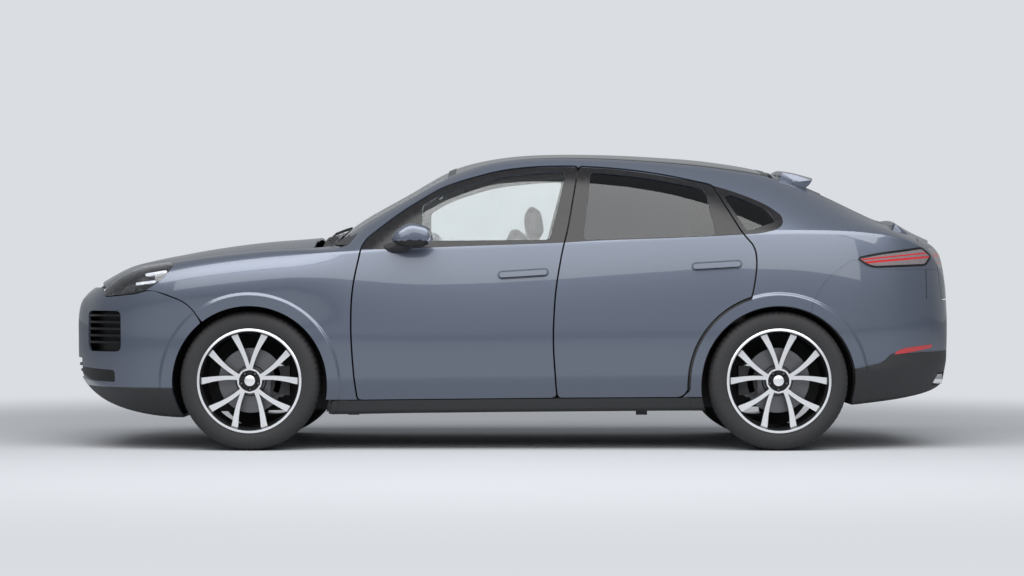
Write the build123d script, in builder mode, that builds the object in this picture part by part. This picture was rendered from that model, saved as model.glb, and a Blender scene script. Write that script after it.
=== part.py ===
from build123d import *
import os
from collections import namedtuple
from math import atan2, cos, degrees, radians, sin

# Coupe sport utility vehicle, in millimetres.
# +X points forward, +Y to the car's left and +Z up; the origin is on the ground, amidships.

# Axles and wheels
WHEELBASE = 2895
FRONT_AXLE_X = 1436
REAR_AXLE_X = FRONT_AXLE_X - WHEELBASE
FRONT_WHEEL_Y = 840
REAR_WHEEL_Y = 836
TYRE_RADIUS = 382
FRONT_TYRE_WIDTH = 285
REAR_TYRE_WIDTH = 305
TYRE_SHOULDER = 28
BEAD_INSET = 12
RIM_RADIUS = 286
RIM_BED = 16
RIM_WALL = 14
SPOKE_PAIRS = 5
SPOKE_WIDTH = 30
SPOKE_DEPTH = 34
HUB_RADIUS = 74
DISC_RADIUS = 180
DISC_THICKNESS = 34
DISC_OFFSET = 38
STUB_RADIUS = 25
STUB_LENGTH = 85

# Wheel arches
ARCH_RADIUS = 424
ARCH_CENTRE_Z = 368
ARCH_INNER_Y = 478
FLARE_RADIUS = 490
STEERING_WELL_RADIUS = 442
LINER = 5

# Panel thicknesses, gaps and seats
SKIN = 12
SHUT_GAP = 6
DOOR_GAP = 9.2
PILLAR_GAP = 9
ROOF_SLOT = 25
FIXED_GAP = 1
SEAT_GAP = 0.3
MOVING_DEPTH = SKIN + SHUT_GAP
DOOR_LIP = 34
DOOR_BOX_INSET = 98
FIXED_LIP = 30
GLASS_SET_IN = 4
GLASS = 5

# Wall thicknesses of the body, from the sill up
SIDE_WALL = 92
BELT_WALL = 74
ROOF_WALL = 44
FLOOR_WALL = 60
END_WALL = 60

# Pivots
HINGE_PIN = 6
HINGE_SLEEVE = 13
HINGE_SWEEP = 92
SWEEP_LOW_Z = 260
LOW_CORNER_SWEEP = 112
LOW_CORNER_TOP_Z = 345
PILLAR_RELIEF = ((715, 900), (1100, 1240))
HINGE_LEG_HALF = 5
HINGE_HEIGHTS = (480, 690)
HINGE_ARM = 24
HINGE_SPACE = 14
FRONT_HINGE = (799, 940)
REAR_HINGE = (-309, 940)
KINGPIN_Y = 800
KINGPIN_RADIUS = 20
HOOD_HINGE_X = 1120
HOOD_HINGE_Z = 1120
HOOD_HINGE_Y = 450
TAILGATE_HINGE_X = -1500
TAILGATE_HINGE_Z = 1526
TAILGATE_HINGE_Y = 300

# Cabin, bay and running gear
FIREWALL_X = 1010
FIREWALL = 30
COWL_HALF = 704
RAIL_SPLIT_Y = 500
FLOOR_TOP_Z = 290
TAIL_FLOOR_Z = 400
TAIL_SPLIT_X = -2100
CHASSIS_RAIL_Z = (430, 560)
CHASSIS_RAIL_Y = 400
LOWER_ARM_Z = (284, 308)
UPPER_ARM_Z = (520, 545)
CROSSMEMBER_Z = 310

# Reach of the cutting forms beyond the body
REACH = 1100
FRONT_REACH = 2600
SKY = 1800

# Body sections across the car.  Each half section runs from the underside corner over the lower
# crease, the widest point and the shoulder to the rail, and the crown is over the centre line.
Section = namedtuple(
    "Section",
    "x low_y low_z crease_y crease_z wide_y wide_z belt_y belt_z rail_y rail_z top_z",
)
FRONT_SECTIONS = [
    Section(2465, 300, 500, 330, 520, 340, 600, 330, 700, 200, 745, 760),
    Section(2435, 420, 400, 480, 440, 500, 600, 480, 775, 300, 835, 845),
    Section(2370, 520, 330, 640, 390, 655, 600, 620, 800, 420, 880, 895),
    Section(2270, 620, 265, 780, 350, 800, 600, 770, 850, 520, 935, 950),
    Section(2130, 700, 215, 880, 330, 896, 600, 868, 920, 590, 1002, 1022),
    Section(1860, 780, 178, 948, 330, 962, 600, 935, 985, 640, 1040, 1086),
    Section(1436, 820, 185, 972, 360, 985, 640, 955, 1045, 700, 1092, 1150),
    Section(1100, 840, 195, 962, 386, 972, 660, 938, 1075, 730, 1108, 1178),
    Section(FIREWALL_X, 842, 196, 958, 387, 970, 660, 934, 1082, 738, 1112, 1188),
]
REAR_SECTIONS = [
    FRONT_SECTIONS[-1],
    Section(849, 845, 198, 955, 388, 968, 660, 928, 1090, 740, 1200, 1290),
    Section(600, 848, 203, 955, 391, 967, 660, 922, 1100, 715, 1338, 1430),
    Section(332, 850, 206, 955, 394, 966, 665, 920, 1110, 670, 1476, 1578),
    Section(60, 850, 209, 955, 397, 966, 670, 920, 1122, 628, 1566, 1642),
    Section(-308, 850, 212, 956, 400, 967, 680, 922, 1138, 606, 1590, 1663),
    Section(-800, 850, 216, 962, 405, 973, 690, 930, 1162, 596, 1572, 1648),
    Section(-1150, 850, 218, 972, 410, 983, 690, 940, 1182, 590, 1540, 1618),
    Section(REAR_AXLE_X, 845, 222, 980, 420, 991, 690, 942, 1196, 582, 1492, 1560),
    Section(-1723, 830, 236, 970, 430, 983, 690, 925, 1200, 580, 1400, 1455),
    Section(-1960, 800, 256, 938, 440, 958, 690, 888, 1190, 590, 1290, 1345),
    Section(-2180, 740, 285, 868, 450, 902, 690, 830, 1150, 590, 1200, 1235),
    Section(-2310, 660, 312, 770, 450, 820, 690, 760, 1080, 560, 1150, 1176),
    Section(-2400, 560, 350, 660, 470, 690, 690, 640, 960, 500, 1085, 1110),
    Section(-2440, 430, 400, 520, 480, 545, 680, 500, 880, 380, 985, 1000),
    Section(-2465, 300, 480, 330, 520, 350, 660, 330, 760, 250, 800, 810),
]
CROWN_SHARE_Y = 0.55
CROWN_SHARE_Z = 0.3

# Panel outlines seen from the side, as x, z
FRONT_DOOR = [
    (821, 1121), (873, 879), (879, 660), (865, 441), (846, 277), (-244, 288), (-236, 359),
    (-218, 605), (-233, 879), (-272, 1099), (-302, 1211), (-366, 1566), (-159, 1566),
    (64, 1543), (287, 1480), (397, 1440), (617, 1305), (791, 1166),
]
REAR_DOOR = [(x - PILLAR_GAP, z) for x, z in FRONT_DOOR[5:12]] + [
    (-549, 1556), (-718, 1538), (-886, 1510), (-1109, 1460), (-1262, 1183), (-1325, 1115),
    (-1336, 1032), (-1325, 934), (-1306, 835), (-1250, 700), (-1250, 600), (-928, 292),
]
FRONT_WINDOW = [
    (493, 1149), (497, 1350), (397, 1412), (286, 1452), (175, 1486), (64, 1511), (-159, 1535),
    (-304, 1538), (-208, 1155),
]
REAR_WINDOW = [
    (-389, 1154), (-440, 1535), (-549, 1528), (-716, 1510), (-883, 1480), (-994, 1458),
    (-1070, 1436), (-1120, 1176),
]
QUARTER_WINDOW = [
    (-1172, 1400), (-1215, 1408), (-1326, 1366), (-1410, 1322), (-1452, 1256), (-1288, 1200),
]
HEADLAMP = [
    (2262, 885), (2256, 845), (2172, 851), (2061, 862), (2006, 879), (1950, 912), (1895, 959),
    (1853, 1023), (1895, 1034), (2006, 1020), (2117, 984), (2200, 934),
]
FRONT_BUMPER = [
    (FRONT_REACH, 893), (2262, 893), (2256, 839), (2172, 845), (2061, 856), (2003, 873),
    (1957, 873), (1777, 808), (1690, 695), (1690, 100), (FRONT_REACH, 100),
]
FENDER = [
    (800, 277), (1300, 277), (1684, 695), (1771, 812), (1951, 879), (2100, 879), (2262, 893),
    (2330, 941), (2330, SKY), (1000, SKY), (985, 1129), (800, 1124),
]
SILL_TRIM = [(994, 271), (846, 271), (-244, 282), (-1100, 286), (-1100, 150), (994, 150)]
TAIL_LAMP = [
    (-1878, 1056), (-1962, 998), (-2287, 1012), (-2330, 1068), (-2269, 1118), (-2155, 1101),
    (-2015, 1084),
]
REAR_BUMPER = [
    (-1872, 1050), (-1960, 991), (-FRONT_REACH, 991), (-FRONT_REACH, 552), (-2082, 536),
    (-2038, 486), (-1884, 455), (-1700, 455), (-1621, 751), (-1684, 895), (-1766, 977),
]
REAR_VALANCE = [
    (-1875, 449), (-1884, 449), (-2034, 480), (-2080, 530), (-FRONT_REACH, 546),
    (-FRONT_REACH, 150), (-1875, 150),
]
SIDE_INTAKE = [(2360, 765), (2150, 765), (2150, 540), (2360, 540)]
ROOF_SPOILER = [
    (-1512, 1500), (-1516, 1568), (-1600, 1558), (-1730, 1524), (-1715, 1500), (-1640, 1450),
]
DECK_SPOILER = [
    (-2130, 1240), (-2150, 1285), (-2300, 1208), (-2400, 1165), (-2385, 1140), (-2250, 1100),
]
MIRROR_HEAD = [
    (662, 1150), (640, 1195), (560, 1249), (450, 1225), (419, 1160), (480, 1108), (600, 1112),
]
MIRROR_FOOT = [(698, 1160), (690, 1060), (600, 1035), (545, 1120), (560, 1160)]
# Outlines seen from above, as x, y on the left half
HOOD_PANEL = [(1100, 698), (1436, 665), (1860, 602), (2130, 535), (2270, 440), (2330, 300)]
WINDSCREEN = [(985, 650), (600, 640), (360, 590)]
ROOF_GLASS = [(320, 575), (60, 545), (-308, 532), (-1150, 524), (-1405, 520)]
# Outlines seen from the rear, as y, z on the left half
TAILGATE_NECK = [(545, SKY), (548, 1500), (560, 1200), (560, 829)]
TAILGATE_FOOT = [(700, SKY), (700, 829)]
BACKLIGHT = [(505, 1430), (530, 1270)]
LIGHT_BAR = [(690, 1112), (690, 1004)]
TAILGATE_FRONT_X = -1465
TAILGATE_STEP_RADIUS = 850
BACKLIGHT_FRONT_X = -1600

# Intakes and grille
CENTRE_INTAKE = ((2300, FRONT_REACH), (-430, 430), (560, 760))
LOWER_INTAKE = ((2200, FRONT_REACH), (-560, 560), (390, 500))
SIDE_INTAKE_INNER_Y = 560
SLAT = 12
SLAT_HEIGHTS = (420, 455, 585, 622, 659, 696, 733)
SLAT_SET_IN = 3
SLAT_DEPTH = 57
EXHAUST_TIP = ((-2395, -2200), (545, 655), (355, 415))
TIP_WALL = 5

# Seats and dashboard seen from the side, as x, z
FRONT_SEAT = [
    (520, 200), (540, 600), (480, 640), (80, 590), (-70, 1180), (-90, 1330), (-170, 1330),
    (-190, 1180), (-110, 560), (-60, 200),
]
REAR_SEAT = [
    (-480, 200), (-470, 640), (-900, 600), (-1060, 1180), (-1075, 1290), (-1150, 1290),
    (-1170, 1180), (-1100, 700), (-1030, 200),
]
DASHBOARD = [
    (FIREWALL_X - SEAT_GAP, 700), (FIREWALL_X - SEAT_GAP, 1075), (840, 1100), (660, 1060), (620, 900), (720, 700),
]
CONSOLE = ((-80, 740), (-120, 120), (200, 720))
SEAT_WIDTH = 500
SEAT_Y = 400
BENCH_WIDTH = 1300
DASH_WIDTH = 1600
STEERING_WHEEL = (500, 400, 960)
STEERING_TILT = 25
ENGINE = ((1150, 1720), (-320, 320), (CROSSMEMBER_Z + SEAT_GAP, 900))
LUGGAGE_FLOOR = ((-2200, -1150), (640, 665))

# Towing eye socket in the right rail's end, and the flat jacking pads under the floor
TOW_SOCKET = (LOWER_INTAKE[0][0], -439, 443)
TOW_SOCKET_RADIUS = 8
TOW_SOCKET_DEPTH = 40
JACK_PAD_XS = (880, -720)
JACK_PAD_Y = 700
JACK_PAD_Z = 186
JACK_PAD = 60
JACK_PAD_DEPTH = 50

os.makedirs("parts", exist_ok=True)


def half_ring(section, side, belt, top, low, shift):
    """The left half of a body section, moved inwards by the given walls."""
    crown_y = (section.rail_y - top) * CROWN_SHARE_Y
    crown_z = section.top_z - (section.top_z - section.rail_z) * CROWN_SHARE_Z - top
    corners = (
        (0, section.low_z + low),
        (section.low_y - side, section.low_z + low),
        (section.crease_y - side, section.crease_z + min(low, SKIN)),
        (section.wide_y - side, section.wide_z),
        (section.belt_y - belt, section.belt_z - min(top, 2 * SKIN)),
        (section.rail_y - top, section.rail_z - top),
        (crown_y, crown_z),
        (0, section.top_z - top),
    )
    return [Vector(section.x + shift, y, z) for y, z in corners]


def facet(corners, mirrored):
    """A flat face between corners on the left, or its mirror image on the right."""
    if mirrored:
        corners = [Vector(corner.X, -corner.Y, corner.Z) for corner in reversed(corners)]
    return Face(Wire.make_polygon(corners, close=True))


def hull(sections, side, belt=None, top=None, low=None, ends=None):
    """The solid body form through the sections, inset by the given wall thicknesses."""
    belt = side if belt is None else belt
    top = side if top is None else top
    low = side if low is None else low
    ends = side if ends is None else ends
    rings = []
    for section in sections:
        shift = 0
        if section is FRONT_SECTIONS[0]:
            shift = -ends
        if section is REAR_SECTIONS[-1]:
            shift = ends
        rings.append(half_ring(section, side, belt, top, low, shift))
    faces = []
    for fore, aft in zip(rings, rings[1:]):
        for index in range(len(fore) - 1):
            after = index + 1
            for mirrored in (False, True):
                faces.append(facet([fore[index], fore[after], aft[after]], mirrored))
                faces.append(facet([fore[index], aft[after], aft[index]], mirrored))
    for ring in (rings[0], rings[-1]):
        right = [Vector(corner.X, -corner.Y, corner.Z) for corner in reversed(ring[1:-1])]
        faces.append(facet(ring + right, False))
    return Solid(Shell(faces))


def grown(outline, grow):
    """Draws a closed outline into the sketch in hand, offset outwards by grow."""
    Polygon(*outline, align=None)
    if grow:
        offset(amount=grow, kind=Kind.INTERSECTION)


def side_prism(outline, grow=0, inner=RAIL_SPLIT_Y, outer=REACH):
    """A prism across the left half of the car, from an outline seen from the side."""
    with BuildPart() as prism:
        with BuildSketch(Plane.XZ.offset(-outer)):
            grown(outline, grow)
        extrude(amount=outer - inner)
    return prism.part


def top_prism(outline, grow=0, low=700):
    """An upright prism over both halves, from a left half outline of x, y."""
    full = outline + [(x, -y) for x, y in reversed(outline)]
    with BuildPart() as prism:
        with BuildSketch(Plane.XY.offset(low)):
            grown(full, grow)
        extrude(amount=SKY - low)
    return prism.part


def rear_prism(outline, grow=0, front_x=TAILGATE_FRONT_X):
    """A lengthwise prism over both halves, from a left half outline of y, z."""
    full = outline + [(-y, z) for y, z in reversed(outline)]
    with BuildPart() as prism:
        with BuildSketch(Plane.YZ.offset(-FRONT_REACH)):
            grown(full, grow)
        extrude(amount=front_x + FRONT_REACH)
    return prism.part


def bar(outline, width, centre_y=0):
    """A bar across the car, from an outline seen from the side."""
    return side_prism(outline, 0, centre_y - width / 2, centre_y + width / 2)


def block(x_range, y_range, z_range):
    """A box between two corners."""
    with BuildPart() as box:
        with Locations(tuple(sum(limits) / 2 for limits in (x_range, y_range, z_range))):
            Box(*[limits[1] - limits[0] for limits in (x_range, y_range, z_range)])
    return box.part


def upright_pin(centre, radius, low, high):
    """An upright cylinder."""
    with BuildPart() as pin:
        with BuildSketch(Plane.XY.offset(low)):
            with Locations(centre):
                Circle(radius)
        extrude(amount=high - low)
    return pin.part


def cross_pin(centre, radius, y_low, y_high):
    """A cylinder across the car, about a centre given as x, z."""
    with BuildPart() as pin:
        with BuildSketch(Plane.XZ.offset(-y_high)):
            with Locations(centre):
                Circle(radius)
        extrude(amount=y_high - y_low)
    return pin.part


def long_pin(centre, radius, x_low, x_high):
    """A lengthwise cylinder, about a centre given as y, z."""
    with BuildPart() as pin:
        with BuildSketch(Plane.YZ.offset(x_low)):
            with Locations(centre):
                Circle(radius)
        extrude(amount=x_high - x_low)
    return pin.part


def across(shape):
    """The same form on the car's right side."""
    return mirror(shape, about=Plane.XZ)


def both(shape):
    """The form and its mirror image."""
    return Part() + shape + across(shape)


def largest(shape):
    """The largest solid of a form."""
    return Part() + shape.solids().sort_by(SortBy.VOLUME)[-1]


def save(name, shape):
    """Labels a finished piece and writes it."""
    shape.label = name
    export_step(shape, f"parts/{name}.step")
    print(name, len(shape.solids()))


# Body forms: outer surface, underside of the skins, seats of the panels, and inner walls
walls = (SIDE_WALL, BELT_WALL, ROOF_WALL, FLOOR_WALL, END_WALL)
room_walls = [wall + SEAT_GAP for wall in walls]
front_outer = hull(FRONT_SECTIONS, 0)
front_under = hull(FRONT_SECTIONS, SKIN)
front_seat = hull(FRONT_SECTIONS, SKIN + SEAT_GAP)
front_moving_seat = hull(FRONT_SECTIONS, MOVING_DEPTH)
front_inner = hull(FRONT_SECTIONS, *walls)
bay_room = hull(FRONT_SECTIONS, *room_walls)
rear_outer = hull(REAR_SECTIONS, 0)
rear_under = hull(REAR_SECTIONS, SKIN)
rear_seat = hull(REAR_SECTIONS, SKIN + SEAT_GAP)
rear_moving_seat = hull(REAR_SECTIONS, MOVING_DEPTH)
rear_inner = hull(REAR_SECTIONS, *walls)
cabin_room = hull(REAR_SECTIONS, *room_walls)
glass_seat = hull(REAR_SECTIONS, GLASS_SET_IN + GLASS + SEAT_GAP)
glass_layer = hull(REAR_SECTIONS, GLASS_SET_IN) - hull(REAR_SECTIONS, GLASS_SET_IN + GLASS)
outside = hull(REAR_SECTIONS, -SEAT_GAP)


def wheel_well(axle_x, radius, inner=ARCH_INNER_Y, outer=REACH):
    """A cylinder across the left wheel arch."""
    return cross_pin((axle_x, ARCH_CENTRE_Z), radius, inner, outer)


front_wells = both(wheel_well(FRONT_AXLE_X, ARCH_RADIUS))
steering_wells = both(wheel_well(FRONT_AXLE_X, STEERING_WELL_RADIUS))
rear_wells = both(wheel_well(REAR_AXLE_X, ARCH_RADIUS))
front_skin = front_outer - front_under - front_wells
rear_skin = rear_outer - rear_under - rear_wells
front_wall = front_outer - front_inner - front_wells
rear_wall = rear_outer - rear_inner - rear_wells

# Hood, with its hinge sleeves
hood_space = top_prism(HOOD_PANEL, SHUT_GAP)
hood = front_skin & top_prism(HOOD_PANEL)
hinge = (HOOD_HINGE_X, HOOD_HINGE_Z)
sleeve_y = (HOOD_HINGE_Y + HINGE_ARM / 2 + 1, HOOD_HINGE_Y + 3 * HINGE_ARM / 2)
web = block((HOOD_HINGE_X - 8, HOOD_HINGE_X + 8), sleeve_y, (HOOD_HINGE_Z, SKY)) & front_outer
sleeve = cross_pin(hinge, HINGE_SLEEVE, *sleeve_y) + web - cross_pin(hinge, HINGE_PIN + SEAT_GAP, *sleeve_y)
save("hood", hood + both(sleeve))

# Headlamps, as thick as the whole wall
lamp_space = both(side_prism(HEADLAMP, FIXED_GAP))
save("headlamps", both((front_wall & side_prism(HEADLAMP)) - hood_space))

# Front bumper skin and the slats in its intakes
bumper_space = both(side_prism(FRONT_BUMPER, FIXED_GAP, 0))
openings = both(side_prism(SIDE_INTAKE, 0, SIDE_INTAKE_INNER_Y)) + block(*CENTRE_INTAKE) + block(*LOWER_INTAKE)
bumper_form = both(side_prism(FRONT_BUMPER, 0, 0))
save("front_bumper", (front_skin & bumper_form) - hood_space - lamp_space - openings)
slats = Part()
for slat_z in SLAT_HEIGHTS:
    slats += block((SIDE_INTAKE[1][0], FRONT_REACH), (-REACH, REACH), (slat_z, slat_z + SLAT))
grille_band = hull(FRONT_SECTIONS, SLAT_SET_IN) - hull(FRONT_SECTIONS, SLAT_SET_IN + SLAT_DEPTH)
save("front_grille", grille_band & openings & slats)

# Front fenders
door_line = side_prism(FRONT_DOOR, DOOR_GAP)
fender_stock = (front_outer - front_under) + (rear_outer - rear_under)
fender = fender_stock & side_prism(FENDER)
cowl_space = block((0, HOOD_PANEL[0][0] + SHUT_GAP), (-COWL_HALF, COWL_HALF), (0, SKY))
fender = fender - front_wells - door_line - hood_space - lamp_space - bumper_space - cowl_space
save("fenders", both(largest(fender)))

# Front structure under the hood, with the cowl, the firewall, two rails and the hood's hinge posts
cowl_x = (FIREWALL_X, FIREWALL_X + FIREWALL)
cowl = (front_outer - front_inner) & block(cowl_x, (-COWL_HALF + 1, COWL_HALF - 1), (700, SKY))
firewall = block(cowl_x, (-REACH, REACH), (0, SKY)) & front_inner
rails = both(block((FIREWALL_X, FRONT_REACH), (CHASSIS_RAIL_Y, ARCH_INNER_Y), CHASSIS_RAIL_Z)) & front_seat
posts = block((FIREWALL_X, HOOD_HINGE_X + 10), (HOOD_HINGE_Y - 12, HOOD_HINGE_Y + 12), (1030, 1070))
posts += block((HOOD_HINGE_X - 10, HOOD_HINGE_X + 10), (HOOD_HINGE_Y - 12, HOOD_HINGE_Y + 12), (1030, HOOD_HINGE_Z))
posts += cross_pin(hinge, HINGE_PIN, HOOD_HINGE_Y - 12, HOOD_HINGE_Y + 3 * HINGE_ARM / 2)
front_frame = (front_seat - front_inner) - (hood_space - front_moving_seat)
front_frame = front_frame - top_prism(HOOD_PANEL, -FIXED_LIP)
hinge_slot = block((cowl_x[1], HOOD_HINGE_X + HINGE_ARM), (-COWL_HALF, COWL_HALF), (1000, SKY))
front_frame = front_frame - hinge_slot + cowl + firewall + rails
front_frame = front_frame - lamp_space - openings - steering_wells + both(posts)
socket_x = (TOW_SOCKET[0] - TOW_SOCKET_DEPTH, TOW_SOCKET[0])
front_frame = front_frame - long_pin(TOW_SOCKET[1:], TOW_SOCKET_RADIUS, *socket_x)
save("front_frame", largest(front_frame))

# Doors: an outer skin over a box as deep as the wall, with sleeves for the hinge pins
rear_box = rear_under - rear_inner - rear_wells
flare_space = wheel_well(REAR_AXLE_X, FLARE_RADIUS)


def door(outline, window, centre):
    """A left door with its window cut and its hinge sleeves."""
    panel = rear_skin & side_prism(outline)
    box = (rear_box & side_prism(outline, -DOOR_BOX_INSET)) - wheel_well(REAR_AXLE_X, FLARE_RADIUS + DOOR_BOX_INSET)
    leaf = panel + box - flare_space - side_prism(window)
    for height in HINGE_HEIGHTS:
        top = height + 2 * HINGE_ARM
        arm_space = block(
            (centre[0] - HINGE_SPACE - HINGE_SLEEVE, centre[0] + HINGE_SWEEP),
            (centre[1] - HINGE_SWEEP, centre[1] + REACH),
            (height - SHUT_GAP, top + SHUT_GAP),
        )
        leaf = leaf - (arm_space & rear_under)
        leaf = leaf + (upright_pin(centre, HINGE_SLEEVE, height + HINGE_ARM + 1, top) & rear_outer)
        leaf = leaf - upright_pin(centre, HINGE_PIN + SEAT_GAP, height, top)
    return largest(leaf)


openable = {
    "front": (FRONT_WINDOW, door(FRONT_DOOR, FRONT_WINDOW, FRONT_HINGE)),
    "rear": (REAR_WINDOW, door(REAR_DOOR, REAR_WINDOW, REAR_HINGE)),
}
for place, (window, leaf) in openable.items():
    pane = glass_layer & side_prism(window, -SEAT_GAP)
    for side, placed in (("left", Part() + leaf), ("right", across(leaf))):
        save(f"{side}_{place}_door", placed)
    for side, placed in (("left", Part() + pane), ("right", across(pane))):
        save(f"{side}_{place}_window", placed)

# Glass fixed to the body
save("windscreen", glass_layer & top_prism(WINDSCREEN, -FIXED_GAP))
save("roof_glass", glass_layer & top_prism(ROOF_GLASS, -FIXED_GAP))
save("quarter_glass", both(glass_layer & side_prism(QUARTER_WINDOW, -SEAT_GAP)))

# Tailgate, with its glass, its light bar and the sleeves at its top edge
light_bar_form = rear_prism(LIGHT_BAR)
light_bar_inner = [(y - SEAT_GAP, z + (SEAT_GAP if z < LIGHT_BAR[0][1] else -SEAT_GAP)) for y, z in LIGHT_BAR]
notch_x = (TAILGATE_HINGE_X - 2 * HINGE_ARM, TAILGATE_FRONT_X + ROOF_SLOT)
notch = block(notch_x, (TAILGATE_HINGE_Y - 22, TAILGATE_HINGE_Y + 22), (1300, SKY))
gate_hinge = (TAILGATE_HINGE_X, TAILGATE_HINGE_Z)
bore = cross_pin(gate_hinge, HINGE_PIN + SEAT_GAP, TAILGATE_HINGE_Y - 46, TAILGATE_HINGE_Y + 46)
gate_form = rear_prism(TAILGATE_NECK) + (
    rear_prism(TAILGATE_FOOT) - cross_pin(gate_hinge, TAILGATE_STEP_RADIUS, -REACH, REACH)
)
tailgate = (rear_wall & gate_form) - light_bar_form - rear_prism(BACKLIGHT, 0, BACKLIGHT_FRONT_X)
save("tailgate", largest(tailgate - both(notch + bore)))
save("light_bar", rear_wall & rear_prism(light_bar_inner) & gate_form)
save("tailgate_glass", glass_layer & rear_prism(BACKLIGHT, -SEAT_GAP, BACKLIGHT_FRONT_X))

# Tail lamps, rear bumper and valance
gate_space = rear_prism(TAILGATE_FOOT, SHUT_GAP)
gate_space = gate_space - cross_pin(gate_hinge, TAILGATE_STEP_RADIUS - SHUT_GAP, -REACH, REACH)
gate_space += rear_prism(TAILGATE_NECK, SHUT_GAP, TAILGATE_FRONT_X + ROOF_SLOT)
tail_lamp_space = both(side_prism(TAIL_LAMP, FIXED_GAP))
save("tail_lamps", both((rear_wall & side_prism(TAIL_LAMP)) - gate_space))
rear_bumper = (rear_skin & both(side_prism(REAR_BUMPER, 0, 0))) - gate_space - tail_lamp_space
save("rear_bumper", rear_bumper)
tip_space = both(block(*EXHAUST_TIP))
save("rear_valance", (rear_skin & both(side_prism(REAR_VALANCE, 0, 0))) - tip_space)
tip_limits = [(low + TIP_WALL, high - TIP_WALL) for low, high in EXHAUST_TIP[1:]]
tip = block(*EXHAUST_TIP) - block((-FRONT_REACH, EXHAUST_TIP[0][1] - 4 * TIP_WALL), *tip_limits)
save("exhaust_tips", both(tip))
sill_form = side_prism(SILL_TRIM)
pads, pad_spaces = Part(), Part()
for pad_x in JACK_PAD_XS:
    for grow, stock in ((0, "pad"), (FIXED_GAP, "space")):
        half = JACK_PAD / 2 + grow
        limits = ((pad_x - half, pad_x + half), (JACK_PAD_Y - half, JACK_PAD_Y + half))
        form = block(*limits, (JACK_PAD_Z, JACK_PAD_Z + JACK_PAD_DEPTH))
        pads, pad_spaces = (pads + form, pad_spaces) if stock == "pad" else (pads, pad_spaces + form)
save("sill_trims", both((rear_skin & sill_form) - pad_spaces))

# Body behind the firewall: recesses for each panel, and the openings that they close
recess = door_line + (side_prism(REAR_DOOR, DOOR_GAP) - flare_space) - rear_moving_seat
fixed_recess = (
    side_prism(FENDER) + sill_form + side_prism(REAR_BUMPER, FIXED_GAP, 0)
    + side_prism(REAR_VALANCE, FIXED_GAP, 0)
) - rear_seat
half_openings = (
    side_prism(FRONT_DOOR, -DOOR_LIP)
    + (side_prism(REAR_DOOR, -DOOR_LIP) - wheel_well(REAR_AXLE_X, FLARE_RADIUS + DOOR_LIP))
    + side_prism(QUARTER_WINDOW, -FIXED_LIP)
    + upright_pin(FRONT_HINGE, HINGE_SWEEP, SWEEP_LOW_Z, 1145)
    + upright_pin(REAR_HINGE, HINGE_SWEEP, SWEEP_LOW_Z, 1215)
    + upright_pin(FRONT_HINGE, LOW_CORNER_SWEEP, SWEEP_LOW_Z, LOW_CORNER_TOP_Z)
    + upright_pin(REAR_HINGE, LOW_CORNER_SWEEP, SWEEP_LOW_Z, LOW_CORNER_TOP_Z)
    + (door_line & block(PILLAR_RELIEF[0], (RAIL_SPLIT_Y, REACH), PILLAR_RELIEF[1]))
)
quarter_recess = side_prism(QUARTER_WINDOW) - glass_seat
glass_forms = (top_prism(WINDSCREEN) + top_prism(ROOF_GLASS)) - glass_seat
glass_openings = top_prism(WINDSCREEN, -FIXED_LIP) + top_prism(ROOF_GLASS, -FIXED_LIP)
shell = rear_wall - both(recess + fixed_recess + half_openings + quarter_recess)
shell = shell - glass_forms - glass_openings - gate_space - tail_lamp_space - tip_space - steering_wells

# Hinge arms that reach round behind the doors' leading edges
arms = Part()
for centre in (FRONT_HINGE, REAR_HINGE):
    for height in HINGE_HEIGHTS:
        limits = (height, height + HINGE_ARM)
        bracket = block((centre[0] - 8, centre[0] + 104), (centre[1] - 104, centre[1] - 60), limits)
        bracket = bracket - upright_pin(centre, HINGE_SWEEP, *limits)
        leg_x = (centre[0] - HINGE_LEG_HALF, centre[0] + HINGE_LEG_HALF)
        leg = block(leg_x, (centre[1] - 104, centre[1]), limits)
        arms += bracket + leg + upright_pin(centre, HINGE_PIN, height, height + 2 * HINGE_ARM)
gate_arm = block(
    (TAILGATE_HINGE_X - 8, TAILGATE_FRONT_X + ROOF_SLOT + 8),
    (TAILGATE_HINGE_Y - 16, TAILGATE_HINGE_Y + 16),
    (TAILGATE_HINGE_Z - 12, TAILGATE_HINGE_Z + 8),
)
gate_arm += cross_pin(gate_hinge, HINGE_PIN, TAILGATE_HINGE_Y - 40, TAILGATE_HINGE_Y + 40)

middle_x = (TAIL_SPLIT_X, FIREWALL_X)
side_zone = block(middle_x, (RAIL_SPLIT_Y, REACH), (FLOOR_TOP_Z, SKY))
roof_zone = block(middle_x, (-RAIL_SPLIT_Y, RAIL_SPLIT_Y), (TAIL_FLOOR_Z, SKY))
floor_zone = block(middle_x, (-REACH, REACH), (0, FLOOR_TOP_Z))
floor_zone += block(middle_x, (-RAIL_SPLIT_Y, RAIL_SPLIT_Y), (0, TAIL_FLOOR_Z))
save("side_frames", both(largest(shell & side_zone) + arms))
save("roof_frame", (shell & roof_zone) + both(gate_arm))
save("floor_pan", (shell & floor_zone) + both(pads))
save("tail_frame", shell & block((-FRONT_REACH, TAIL_SPLIT_X), (-REACH, REACH), (0, SKY)))

# Suspension: a crossmember on the floor at each axle, with two arms to each hub carrier
ARM_END_Y = KINGPIN_Y - KINGPIN_RADIUS - SEAT_GAP
RAIL_SIDE_Y = ARCH_INNER_Y + SEAT_GAP


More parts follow.
